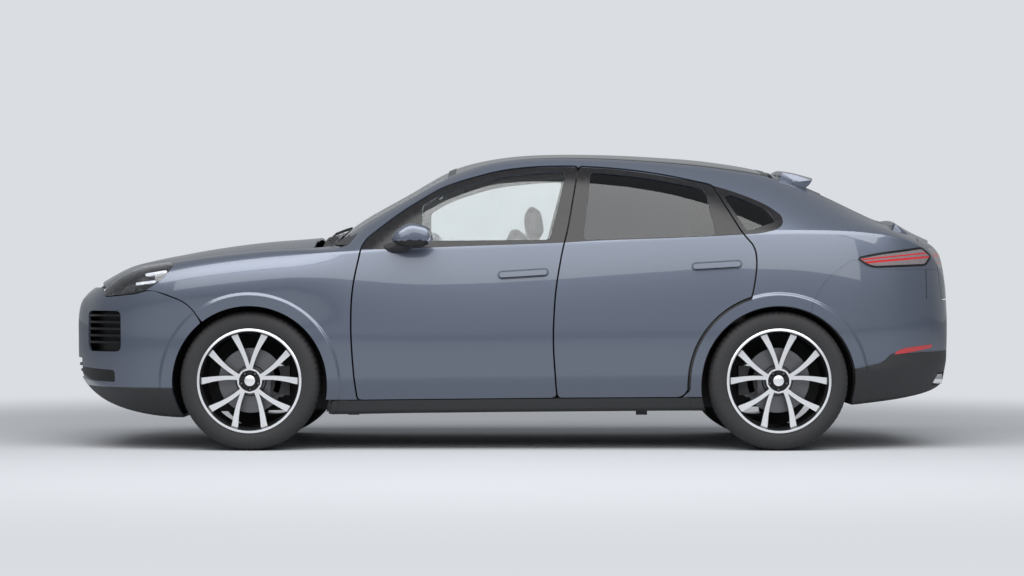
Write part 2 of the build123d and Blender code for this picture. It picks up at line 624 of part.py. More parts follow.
def half_suspension(axle_x, room, arm_end_y):
    """The left half of an axle's crossmember and arms."""
    beam = block((axle_x - 60, axle_x + 60), (0, ARCH_INNER_Y - 2), (0, CROSSMEMBER_Z)) & room
    lower = block((axle_x - 30, axle_x + 30), (ARCH_INNER_Y - 60, arm_end_y), LOWER_ARM_Z)
    upper = block((axle_x - 25, axle_x + 25), (RAIL_SIDE_Y, arm_end_y), UPPER_ARM_Z)
    return beam + lower, upper


def upright(centre_x, caliper_side):
    """A hub carrier with its stub axle and the caliper over the disc."""
    centre = (centre_x, TYRE_RADIUS)
    disc_y = KINGPIN_Y + DISC_OFFSET
    disc_end = disc_y + DISC_THICKNESS
    column = upright_pin((centre_x, KINGPIN_Y), KINGPIN_RADIUS, 250, 560)
    carrier = cross_pin(centre, 70, KINGPIN_Y - 25, disc_y - 6)
    stub = cross_pin(centre, STUB_RADIUS, KINGPIN_Y, KINGPIN_Y + STUB_LENGTH)
    near, far = sorted((centre_x + caliper_side * 110, centre_x + caliper_side * 215))
    height = (TYRE_RADIUS - 80, TYRE_RADIUS + 80)
    caliper = block((near, far), (disc_y - 24, disc_end + 26), height)
    caliper = caliper - cross_pin(centre, DISC_RADIUS + 5, disc_y - 5, disc_end + 5)
    caliper = caliper - cross_pin(centre, 112, disc_end, REACH)
    near, far = sorted((centre_x, centre_x + caliper_side * 130))
    bridge = block((near, far), (disc_y - 24, disc_y - 6), (TYRE_RADIUS - 40, TYRE_RADIUS + 40))
    return column + carrier + stub + caliper + bridge


front_lower, front_upper = half_suspension(FRONT_AXLE_X, bay_room, ARM_END_Y)
save("front_suspension", both(front_lower) + both(front_upper))
rear_lower, rear_upper = half_suspension(REAR_AXLE_X, cabin_room, KINGPIN_Y)
save("rear_suspension", both(rear_lower + rear_upper + upright(REAR_AXLE_X, 1)))
front_upright = upright(FRONT_AXLE_X, -1)
save("left_knuckle", Part() + front_upright)
save("right_knuckle", across(front_upright))


def liner(axle_x, well_radius):
    """A thin shell inside the left arch, closed on its inner side and open around the arms."""
    radius = well_radius - SEAT_GAP
    shell_form = wheel_well(axle_x, radius, RAIL_SIDE_Y) - wheel_well(axle_x, radius - LINER, RAIL_SIDE_Y + LINER)
    slot = block((axle_x - 40, axle_x + 40), (0, REACH), (0, UPPER_ARM_Z[1] + FIXED_GAP))
    return (shell_form - slot) & block((axle_x - REACH, axle_x + REACH), (0, REACH), (230, SKY))


liner_zone = hull(FRONT_SECTIONS, SKIN + 1) + hull(REAR_SECTIONS, SKIN + 1)
liners = liner(FRONT_AXLE_X, STEERING_WELL_RADIUS) + liner(REAR_AXLE_X, ARCH_RADIUS)
save("wheel_liners", both(liners & liner_zone))

# Spoilers over the backlight and on the deck, and the door mirrors
save("roof_spoiler", largest(bar(ROOF_SPOILER, 1080) - outside))
save("deck_spoiler", largest(bar(DECK_SPOILER, 1160) - outside))
mirror_form = bar(MIRROR_HEAD, 137, 1028) + bar(MIRROR_FOOT, 110, 945)
mirror_form = largest(mirror_form - outside)
save("left_mirror", Part() + mirror_form)
save("right_mirror", across(mirror_form))

# Cabin
arch_space = both(wheel_well(REAR_AXLE_X, ARCH_RADIUS + FIXED_GAP))
save("front_seats", both(bar(FRONT_SEAT, SEAT_WIDTH, SEAT_Y) & cabin_room))
bench = (bar(REAR_SEAT, BENCH_WIDTH) & cabin_room) - arch_space
save("rear_bench", bench)
dash = (bar(DASHBOARD, DASH_WIDTH) + block(*CONSOLE)) & cabin_room
save("dashboard", dash)
with BuildPart() as wheel_rim:
    tilt = radians(STEERING_TILT)
    with Locations(Plane(origin=STEERING_WHEEL, z_dir=(-cos(tilt), 0, sin(tilt)))):
        Torus(180, 16)
        Cylinder(60, 40)
        Box(40, 350, 16)
        with Locations((0, 0, -100)):
            Cylinder(28, 200)
save("steering_wheel", largest(wheel_rim.part - dash))
boot_x, boot_z = LUGGAGE_FLOOR
save("luggage_floor", largest((block(boot_x, (-REACH, REACH), boot_z) & cabin_room) - arch_space - bench))
save("engine", block(*ENGINE) & bay_room)


def tyre(centre_x, centre_y, width):
    """A tyre on its rim, round about its axle."""
    half = width / 2
    bed = TYRE_RADIUS + RIM_RADIUS - RIM_BED
    flange = TYRE_RADIUS + RIM_RADIUS
    half_outline = [
        (half - BEAD_INSET, bed),
        (half - BEAD_INSET, flange + 2),
        (half, flange + 42),
        (half - 6, 2 * TYRE_RADIUS - 18),
        (half - TYRE_SHOULDER, 2 * TYRE_RADIUS),
    ]
    outline = half_outline + [(-y, z) for y, z in reversed(half_outline)]
    with BuildPart() as ring:
        with BuildSketch(Plane.YZ.offset(centre_x)):
            with BuildLine():
                Polyline(*[(centre_y + y, z) for y, z in outline], close=True)
            make_face()
        revolve(axis=Axis((centre_x, 0, TYRE_RADIUS), (0, 1, 0)))
    return ring.part


def rim(centre_x, centre_y, width):
    """A wheel with its spokes in pairs, its hub, and the brake disc behind it."""
    half = width / 2 - BEAD_INSET
    bed = TYRE_RADIUS + RIM_RADIUS - RIM_BED
    flange = TYRE_RADIUS + RIM_RADIUS
    face_y = centre_y + half - 20
    barrel = [
        (-half, bed - RIM_WALL), (-half, bed), (half, bed), (half, flange), (half + 10, flange),
        (half + 10, bed - RIM_WALL),
    ]
    with BuildPart() as wheel:
        with BuildSketch(Plane.YZ.offset(centre_x)):
            with BuildLine():
                Polyline(*[(centre_y + y, z) for y, z in barrel], close=True)
            make_face()
        revolve(axis=Axis((centre_x, 0, TYRE_RADIUS), (0, 1, 0)))
        with BuildSketch(Plane.XZ.offset(-face_y)):
            with Locations((centre_x, TYRE_RADIUS)):
                Circle(HUB_RADIUS)
            for pair in range(SPOKE_PAIRS):
                foot = 90 + 360 / SPOKE_PAIRS * pair
                for side in (-1, 1):
                    foot_at = Vector(HUB_RADIUS - 14, 0, 0).rotate(Axis.Z, foot)
                    tip_at = Vector(RIM_RADIUS - 24, 0, 0).rotate(Axis.Z, foot + side * 180 / SPOKE_PAIRS / 2)
                    along = tip_at - foot_at
                    middle = (foot_at + tip_at) / 2 + Vector(centre_x, TYRE_RADIUS, 0)
                    turn = degrees(atan2(along.Y, along.X))
                    with Locations(Location((middle.X, middle.Y, 0), (0, 0, turn))):
                        Rectangle(along.length, SPOKE_WIDTH)
        extrude(amount=SPOKE_DEPTH)
    centre = (centre_x, TYRE_RADIUS)
    disc_y = KINGPIN_Y + DISC_OFFSET
    hub = cross_pin(centre, HUB_RADIUS, disc_y, face_y - SPOKE_DEPTH / 2)
    disc = cross_pin(centre, DISC_RADIUS, disc_y, disc_y + DISC_THICKNESS)
    stub_bore = cross_pin(centre, STUB_RADIUS + SEAT_GAP, KINGPIN_Y, KINGPIN_Y + STUB_LENGTH + 1)
    return wheel.part + hub + disc - stub_bore


wheel_sets = {
    "front": (FRONT_AXLE_X, FRONT_WHEEL_Y, FRONT_TYRE_WIDTH),
    "rear": (REAR_AXLE_X, REAR_WHEEL_Y, REAR_TYRE_WIDTH),
}
for place, wheel_set in wheel_sets.items():
    for kind, shape in (("tyre", tyre(*wheel_set)), ("rim", rim(*wheel_set))):
        save(f"{place}_left_{kind}", Part() + shape)
        save(f"{place}_right_{kind}", across(shape))
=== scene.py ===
import math

import bmesh
import bpy
import numpy as np
from mathutils import Matrix, Vector


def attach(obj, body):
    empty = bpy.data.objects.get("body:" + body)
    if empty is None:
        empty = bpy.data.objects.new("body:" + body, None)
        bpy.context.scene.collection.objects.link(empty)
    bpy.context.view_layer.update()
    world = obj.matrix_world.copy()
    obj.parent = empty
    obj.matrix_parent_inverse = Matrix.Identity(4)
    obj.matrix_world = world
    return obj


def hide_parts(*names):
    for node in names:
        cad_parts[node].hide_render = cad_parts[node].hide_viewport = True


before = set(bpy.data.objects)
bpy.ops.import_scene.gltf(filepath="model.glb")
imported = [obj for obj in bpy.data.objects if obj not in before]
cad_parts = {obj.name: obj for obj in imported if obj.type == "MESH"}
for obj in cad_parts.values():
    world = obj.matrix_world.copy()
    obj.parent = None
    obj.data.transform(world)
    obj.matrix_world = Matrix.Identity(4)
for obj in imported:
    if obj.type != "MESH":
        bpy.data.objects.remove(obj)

bl_info = {
    "name": "Coupe Sport Utility Vehicle",
    "version": (1, 0, 0),
    "blender": (4, 5, 0),
    "location": "3D View > Sidebar > Coupe SUV",
    "description": "Dresses the coupe sport utility vehicle's frame with its detailed pieces",
    "category": "Object",
}

# Body sections in millimetres: x, low y and z, crease y and z, widest y and z, belt y and z,
# rail y and z, and the crown's height over the centre line.
SECTIONS = [
    (2465, 300, 500, 330, 520, 340, 600, 330, 700, 200, 745, 760),
    (2435, 420, 400, 480, 440, 500, 600, 480, 775, 300, 835, 845),
    (2370, 520, 330, 640, 390, 655, 600, 620, 800, 420, 880, 895),
    (2270, 620, 265, 780, 350, 800, 600, 770, 850, 520, 935, 950),
    (2130, 700, 215, 880, 330, 896, 600, 868, 920, 590, 1002, 1022),
    (1860, 780, 178, 948, 330, 962, 600, 935, 985, 640, 1040, 1086),
    (1436, 820, 185, 972, 360, 985, 640, 955, 1045, 700, 1092, 1150),
    (1100, 840, 195, 962, 386, 972, 660, 938, 1075, 730, 1108, 1178),
    (1010, 842, 196, 958, 387, 970, 660, 934, 1082, 738, 1112, 1188),
    (849, 845, 198, 955, 388, 968, 660, 928, 1090, 740, 1200, 1290),
    (600, 848, 203, 955, 391, 967, 660, 922, 1100, 715, 1338, 1430),
    (332, 850, 206, 955, 394, 966, 665, 920, 1110, 670, 1476, 1578),
    (60, 850, 209, 955, 397, 966, 670, 920, 1122, 628, 1566, 1642),
    (-308, 850, 212, 956, 400, 967, 680, 922, 1138, 606, 1590, 1663),
    (-800, 850, 216, 962, 405, 973, 690, 930, 1162, 596, 1572, 1648),
    (-1150, 850, 218, 972, 410, 983, 690, 940, 1182, 590, 1540, 1618),
    (-1459, 845, 222, 980, 420, 991, 690, 942, 1196, 582, 1492, 1560),
    (-1723, 830, 236, 970, 430, 983, 690, 925, 1200, 580, 1400, 1455),
    (-1960, 800, 256, 938, 440, 958, 690, 888, 1190, 590, 1290, 1345),
    (-2180, 740, 285, 868, 450, 902, 690, 830, 1150, 590, 1200, 1235),
    (-2310, 660, 312, 770, 450, 820, 690, 760, 1080, 560, 1150, 1176),
    (-2400, 560, 350, 660, 470, 690, 690, 640, 960, 500, 1085, 1110),
    (-2440, 430, 400, 520, 480, 545, 680, 500, 880, 380, 985, 1000),
    (-2465, 300, 480, 330, 520, 350, 660, 330, 760, 250, 800, 810),
]
STEPS = (5, 8, 18, 26, 34, 14, 14)
STEP = 0.0125
PROUD = 0.0025
CROWN_SHARE = (0.55, 0.3)

# Panel outlines in millimetres. Side outlines are x, z; top ones are x, y and rear ones y, z.
FRONT_DOOR = [
    (821, 1121), (873, 879), (879, 660), (865, 441), (846, 277), (-244, 288), (-236, 359),
    (-218, 605), (-233, 879), (-272, 1099), (-302, 1211), (-366, 1566), (-159, 1566),
    (64, 1543), (287, 1480), (397, 1440), (617, 1305), (791, 1166),
]
REAR_DOOR = [(x - 9, z) for x, z in FRONT_DOOR[5:12]] + [
    (-549, 1556), (-718, 1538), (-886, 1510), (-1109, 1460), (-1262, 1183), (-1325, 1115),
    (-1336, 1032), (-1325, 934), (-1306, 835), (-1250, 700), (-1250, 600), (-928, 292),
]
FRONT_WINDOW = [
    (493, 1149), (497, 1350), (397, 1412), (286, 1452), (175, 1486), (64, 1511), (-159, 1535),
    (-304, 1538), (-208, 1155),
]
REAR_WINDOW = [
    (-389, 1154), (-440, 1535), (-549, 1528), (-716, 1510), (-883, 1480), (-994, 1458),
    (-1070, 1436), (-1120, 1176),
]
QUARTER_WINDOW = [
    (-1172, 1400), (-1215, 1408), (-1326, 1366), (-1410, 1322), (-1452, 1256), (-1288, 1200),
]
DAYLIGHT = [
    (836, 1104), (699, 1101), (282, 1118), (-47, 1129), (-266, 1137), (-486, 1151), (-760, 1159),
    (-1035, 1170), (-1254, 1181), (-1364, 1189), (-1446, 1208), (-1479, 1230), (-1490, 1252),
    (-1484, 1290), (-1415, 1345), (-1331, 1385), (-1220, 1429), (-1108, 1462), (-996, 1486),
    (-885, 1507), (-717, 1535), (-550, 1555), (-383, 1563), (-271, 1566), (-159, 1563),
    (-48, 1558), (64, 1541), (176, 1513), (287, 1480), (399, 1441), (510, 1376), (622, 1305),
    (725, 1221), (791, 1166),
]
HEADLAMP = [
    (2262, 885), (2256, 845), (2172, 851), (2061, 862), (2006, 879), (1950, 912), (1895, 959),
    (1853, 1023), (1895, 1034), (2006, 1020), (2117, 984), (2200, 934),
]
FRONT_BUMPER = [
    (2600, 893), (2262, 893), (2256, 839), (2172, 845), (2061, 856), (2003, 873),
    (1957, 873), (1777, 808), (1690, 695), (1690, 100), (2600, 100),
]
FENDER = [
    (800, 277), (1300, 277), (1684, 695), (1771, 812), (1951, 879), (2100, 879), (2262, 893),
    (2330, 941), (2330, 1800), (1000, 1800), (985, 1129), (800, 1124),
]
SILL_TRIM = [(994, 271), (846, 271), (-244, 282), (-1100, 286), (-1100, 150), (994, 150)]
TAIL_LAMP = [
    (-1878, 1056), (-1962, 998), (-2287, 1012), (-2330, 1068), (-2269, 1118), (-2155, 1101),
    (-2015, 1084),
]
REAR_BUMPER = [
    (-1872, 1050), (-1960, 991), (-2600, 991), (-2600, 552), (-2082, 536), (-2038, 486),
    (-1884, 455), (-1700, 455), (-1621, 751), (-1684, 895), (-1766, 977),
]
REAR_VALANCE = [
    (-1875, 449), (-1884, 449), (-2034, 480), (-2080, 530), (-2600, 546), (-2600, 150),
    (-1875, 150),
]
SIDE_INTAKE = [(2360, 765), (2150, 765), (2150, 540), (2360, 540)]
HOOD_PANEL = [(1100, 698), (1436, 665), (1860, 602), (2130, 535), (2270, 440), (2330, 300)]
WINDSCREEN = [(985, 650), (600, 640), (360, 590)]
ROOF_GLASS = [(320, 575), (60, 545), (-308, 532), (-1150, 524), (-1405, 520)]
GATE_NECK = [(545, 1800), (548, 1500), (560, 1200), (560, 829)]
GATE_FOOT = [(700, 1800), (700, 829)]
BACKLIGHT = [(505, 1430), (530, 1270)]
LIGHT_BAR = [(690, 1112), (690, 1004)]
MIRROR_HEAD = [
    (662, 1150), (640, 1195), (560, 1249), (450, 1225), (419, 1160), (480, 1108), (600, 1112),
]
ROOF_SPOILER = [
    (-1512, 1500), (-1516, 1568), (-1600, 1558), (-1730, 1524), (-1715, 1500), (-1640, 1450),
]
DECK_SPOILER = [
    (-2130, 1240), (-2150, 1285), (-2300, 1208), (-2400, 1165), (-2385, 1140), (-2250, 1100),
]
SLATS = (0.426, 0.461, 0.591, 0.628, 0.665, 0.702, 0.739)

# Measures in metres. Each axle has its x, its wheels' y and its tyres' width.
AXLES = {"front": (1.436, 0.840, 0.285), "rear": (-1.459, 0.836, 0.305)}
AXLE_Z = 0.382
ARCH_Z = 0.368
ARCH_RADIUS = 0.424
FLARE_RADIUS = 0.490
KINGPIN_Y = 0.800

# Gaps around the hood and tailgate, around the doors, and between fixed panels
SHUT = 0.006
DOOR_GAP = 0.0092
FIXED_GAP = 0.001

# The tailgate's front edge, its hinge's x and z, and the radius of the step around the hinge
GATE_FRONT = -1.465
GATE_HINGE = (-1.500, 1.526)
GATE_STEP = 0.850

# Limits that keep a field to one side, the cowl's edges, and a height over the whole car
CABIN_SIDE = 0.3
DOOR_SIDE = 0.4
COWL_FRONT = 1.094
COWL_HALF = 0.704
HOOD_SWEEP_X = 1.050
SKY = 1.8

PANE = {"depth": 0.005, "set_in": 0.0065}
SIDES = (("left", 1), ("right", -1))


class CoupeSizes(bpy.types.PropertyGroup):
    flare_depth: bpy.props.FloatProperty(
        name="Flare depth", description="How far the wheel arch flares stand out", default=0.012,
        unit="LENGTH",
    )
    skin_depth: bpy.props.FloatProperty(
        name="Skin depth", description="Depth of the outer panels' turned edges", default=0.012,
        unit="LENGTH",
    )
    tread_depth: bpy.props.FloatProperty(
        name="Tread depth", description="Depth of the tyre tread grooves", default=0.007,
        unit="LENGTH",
    )
    spoke_width: bpy.props.FloatProperty(
        name="Spoke width", description="Width of each wheel spoke's face", default=0.034,
        unit="LENGTH",
    )
    lens: bpy.props.FloatProperty(
        name="Lens", description="Focal length of the camera, in millimetres", default=97.0
    )


class CoupeColours(bpy.types.PropertyGroup):
    paint: bpy.props.FloatVectorProperty(
        name="Paint", description="Colour of the body paint", default=(0.092, 0.110, 0.150),
        size=3, subtype="COLOR", min=0, max=1,
    )
    leather: bpy.props.FloatVectorProperty(
        name="Leather", description="Colour of the seats", default=(0.028, 0.027, 0.028),
        size=3, subtype="COLOR", min=0, max=1,
    )
    floor: bpy.props.FloatVectorProperty(
        name="Floor", description="Colour of the studio floor", default=(0.46, 0.475, 0.50),
        size=3, subtype="COLOR", min=0, max=1,
    )
    background: bpy.props.FloatVectorProperty(
        name="Background", description="Colour of the studio's background", default=(0.70, 0.723, 0.76),
        size=3, subtype="COLOR", min=0, max=1,
    )


def settings():
    """The sizes and the colours in the scene."""
    return bpy.context.scene.coupe_sizes, bpy.context.scene.coupe_colours


# Materials


def material(name, colour, metallic=0.0, roughness=0.5, speckle=0.1, scale=60.0, bump=0.0, **extra):
    """A procedural material: noise varies its colour and roughness, and can raise a fine bump."""
    if name in bpy.data.materials:
        return bpy.data.materials[name]
    made = bpy.data.materials.new(name)
    made.use_nodes = True
    nodes, links = made.node_tree.nodes, made.node_tree.links
    shader = nodes["Principled BSDF"]
    shader.inputs["Metallic"].default_value = metallic
    for socket, value in extra.items():
        shader.inputs[socket.replace("_", " ")].default_value = value
    place = nodes.new("ShaderNodeTexCoord")
    noise = nodes.new("ShaderNodeTexNoise")
    noise.inputs["Scale"].default_value = scale
    noise.inputs["Detail"].default_value = 4.0
    links.new(place.outputs["Object"], noise.inputs["Vector"])
    ramp = nodes.new("ShaderNodeValToRGB")
    ramp.color_ramp.elements[0].position = 0.3
    ramp.color_ramp.elements[1].position = 0.7
    ramp.color_ramp.elements[0].color = (*[c * (1 - speckle) for c in colour], 1)
    ramp.color_ramp.elements[1].color = (*[min(1, c * (1 + speckle)) for c in colour], 1)
    links.new(noise.outputs["Fac"], ramp.inputs["Fac"])
    links.new(ramp.outputs["Color"], shader.inputs["Base Color"])
    spread = nodes.new("ShaderNodeMapRange")
    spread.inputs["To Min"].default_value = max(0.0, roughness - 0.08 * min(1, 4 * roughness))
    spread.inputs["To Max"].default_value = min(1.0, roughness + 0.08 * min(1, 4 * roughness))
    links.new(noise.outputs["Fac"], spread.inputs["Value"])
    links.new(spread.outputs["Result"], shader.inputs["Roughness"])
    if bump:
        raised = nodes.new("ShaderNodeBump")
        raised.inputs["Strength"].default_value = 0.6
        raised.inputs["Distance"].default_value = bump
        links.new(noise.outputs["Fac"], raised.inputs["Height"])
        links.new(raised.outputs["Normal"], shader.inputs["Normal"])
    return made


def mat(key):
    """One of the car's materials, by its key."""
    _, colours = settings()
    table = {
        "paint": dict(colour=colours.paint, metallic=0.55, roughness=0.36, speckle=0.12, scale=900.0,
                      Coat_Weight=1.0, Coat_Roughness=0.03),
        # The inner paint is the body paint darkened to 0.7 with a duller finish: painted shade on the
        # panels' backs and the handle recesses.
        "inner_paint": dict(colour=[c * 0.7 for c in colours.paint], metallic=0.4, roughness=0.5,
                            speckle=0.15, scale=400.0),
        "black": dict(colour=(0.010, 0.010, 0.011), roughness=0.22, speckle=0.2, scale=40.0,
                      Specular_IOR_Level=0.3),
        "plastic": dict(colour=(0.022, 0.022, 0.024), roughness=0.55, speckle=0.2, scale=700.0,
                        bump=0.0004),
        "steel": dict(colour=(0.18, 0.18, 0.19), metallic=0.8, roughness=0.5, speckle=0.25, scale=35.0,
                      bump=0.0006),
        "chassis": dict(colour=(0.03, 0.03, 0.032), roughness=0.7, speckle=0.3, scale=50.0, bump=0.0006),
        "glass": dict(colour=(0.78, 0.82, 0.82), roughness=0.0, speckle=0.01, scale=6.0,
                      Transmission_Weight=1.0, IOR=1.45),
        "tint": dict(colour=(0.085, 0.092, 0.10), roughness=0.0, speckle=0.02, scale=6.0,
                     Transmission_Weight=1.0, IOR=1.45),
        "deep_tint": dict(colour=(0.012, 0.013, 0.015), roughness=0.0, speckle=0.02, scale=6.0,
                          Transmission_Weight=1.0, IOR=1.45),
        "roof": dict(colour=(0.012, 0.013, 0.015), roughness=0.05, speckle=0.05, scale=6.0,
                     Coat_Weight=1.0, Coat_Roughness=0.02),
        "lens": dict(colour=(0.93, 0.94, 0.95), roughness=0.0, speckle=0.01, scale=10.0,
                     Transmission_Weight=1.0, IOR=1.45),
        "lamp_white": dict(colour=(0.8, 0.82, 0.86), roughness=0.25, speckle=0.05, scale=300.0),
        "lamp_dark": dict(colour=(0.035, 0.037, 0.042), metallic=0.6, roughness=0.3, speckle=0.2,
                          scale=120.0),
        "red": dict(colour=(0.42, 0.012, 0.016), roughness=0.12, speckle=0.15, scale=160.0,
                    Coat_Weight=1.0, Coat_Roughness=0.02),
        "smoke": dict(colour=(0.16, 0.14, 0.15), roughness=0.06, speckle=0.1, scale=60.0,
                      Coat_Weight=1.0, Coat_Roughness=0.02),
        "rubber": dict(colour=(0.018, 0.018, 0.019), roughness=0.78, speckle=0.25, scale=120.0,
                       bump=0.0008),
        "machined": dict(colour=(0.84, 0.85, 0.87), metallic=0.85, roughness=0.3, speckle=0.05,
                         scale=500.0, Coat_Weight=0.5, Coat_Roughness=0.05),
        "chrome": dict(colour=(0.78, 0.78, 0.79), metallic=1.0, roughness=0.1, speckle=0.03, scale=80.0),
        "iron": dict(colour=(0.17, 0.17, 0.18), metallic=1.0, roughness=0.35, speckle=0.12, scale=200.0,
                     bump=0.0003),
        "caliper": dict(colour=(0.42, 0.43, 0.45), metallic=0.9, roughness=0.4, speckle=0.1,
                        scale=160.0, bump=0.0004),
        "leather": dict(colour=colours.leather, roughness=0.5, speckle=0.2, scale=240.0, bump=0.0012),
        "carpet": dict(colour=(0.02, 0.02, 0.022), roughness=0.95, speckle=0.5, scale=1500.0,
                       bump=0.002),
        "screen": dict(colour=(0.008, 0.009, 0.012), roughness=0.08, speckle=0.1, scale=30.0,
                       Coat_Weight=1.0, Coat_Roughness=0.02),
        "mirror": dict(colour=(0.8, 0.81, 0.82), metallic=1.0, roughness=0.02, speckle=0.01, scale=10.0),
    }
    return material(f"coupe_{key}", **table[key])


# Outlines and fields over the body's surface


def soft(outline, corner=20.0, gentle=40.0):
    """The outline in metres with its corners rounded: gentle turns widely, sharp ones tightly."""
    points = [Vector(point) for point in outline]
    rounded = []
    for index, point in enumerate(points):
        before, after = points[index - 1], points[(index + 1) % len(points)]
        into, out = point - before, after - point
        turn = math.degrees(into.angle(out, 0))
        reach = 0.45 * min(into.length, out.length)
        if turn > gentle:
            reach = min(reach, corner)
        start, end = point - into.normalized() * reach, point + out.normalized() * reach
        for step in range(5):
            t = step / 4
            rounded.append(start * (1 - t) ** 2 + point * 2 * t * (1 - t) + end * t * t)
    return np.array([[p.x, p.y] for p in rounded]) / 1000


def signed(outline, u, v):
    """Distance of the points inside the outline, negative outside it."""
    a, b = outline, np.roll(outline, -1, axis=0)
    nearest = np.full(u.shape, 1e9)
    inside = np.zeros(u.shape, bool)
    for (au, av), (bu, bv) in zip(a, b):
        du, dv = bu - au, bv - av
        length = du * du + dv * dv
        if length < 1e-16:
            continue
        t = np.clip(((u - au) * du + (v - av) * dv) / length, 0, 1)
        nearest = np.minimum(nearest, (u - au - t * du) ** 2 + (v - av - t * dv) ** 2)
        if av != bv:
            crosses = ((av > v) != (bv > v)) & (u < (bu - au) * (v - av) / (bv - av) + au)
            inside ^= crosses
    return np.where(inside, 1, -1) * np.sqrt(nearest)


def on_side(outline, corner=20.0):
    """A field over the side view of the left half."""
    shape = soft(outline, corner)
    return lambda p: signed(shape, p[:, 0], p[:, 2])


def on_top(outline, corner=20.0):
    """A field over the top view, symmetric about the centre line."""
    shape = soft(outline + [(x, -y) for x, y in reversed(outline)], corner)
    return lambda p: np.minimum(signed(shape, p[:, 0], p[:, 1]), p[:, 2] - 0.7)


def on_rear(outline, front_x, corner=20.0):
    """A field over the rear view behind front_x, symmetric about the centre line."""
    shape = soft(outline + [(-y, z) for y, z in reversed(outline)], corner)
    return lambda p: np.minimum(signed(shape, p[:, 1], p[:, 2]), front_x - p[:, 0])


def box_field(x_range, y_range, z_range):
    """A field inside a box."""
    limits = list(zip(range(3), (x_range, y_range, z_range)))

    def field(p):
        return np.min([np.minimum(p[:, k] - lo, hi - p[:, k]) for k, (lo, hi) in limits], axis=0)

    return field


def arch_field(place, radius):
    """A field inside the wheel arch's circle on the body's side."""
    x = AXLES[place][0]
    return lambda p: np.minimum(radius - np.hypot(p[:, 0] - x, p[:, 2] - ARCH_Z), p[:, 1] - 0.478)


def less(field, gap=0.0):
    """The field outside another, past a gap."""
    return lambda p: -(field(p) + gap)


def shrunk(field, inset):
    """The field drawn in by an inset."""
    return lambda p: field(p) - inset


def normalised(vectors):
    """The vectors at a length of one."""
    return vectors / np.maximum(np.linalg.norm(vectors, axis=-1, keepdims=True), 1e-9)


def wide(points, triangles, least):
    """The triangles whose doubled area is over the least."""
    a, b, c = points[triangles].transpose(1, 0, 2)
    return triangles[np.linalg.norm(np.cross(b - a, c - a), axis=1) > least]


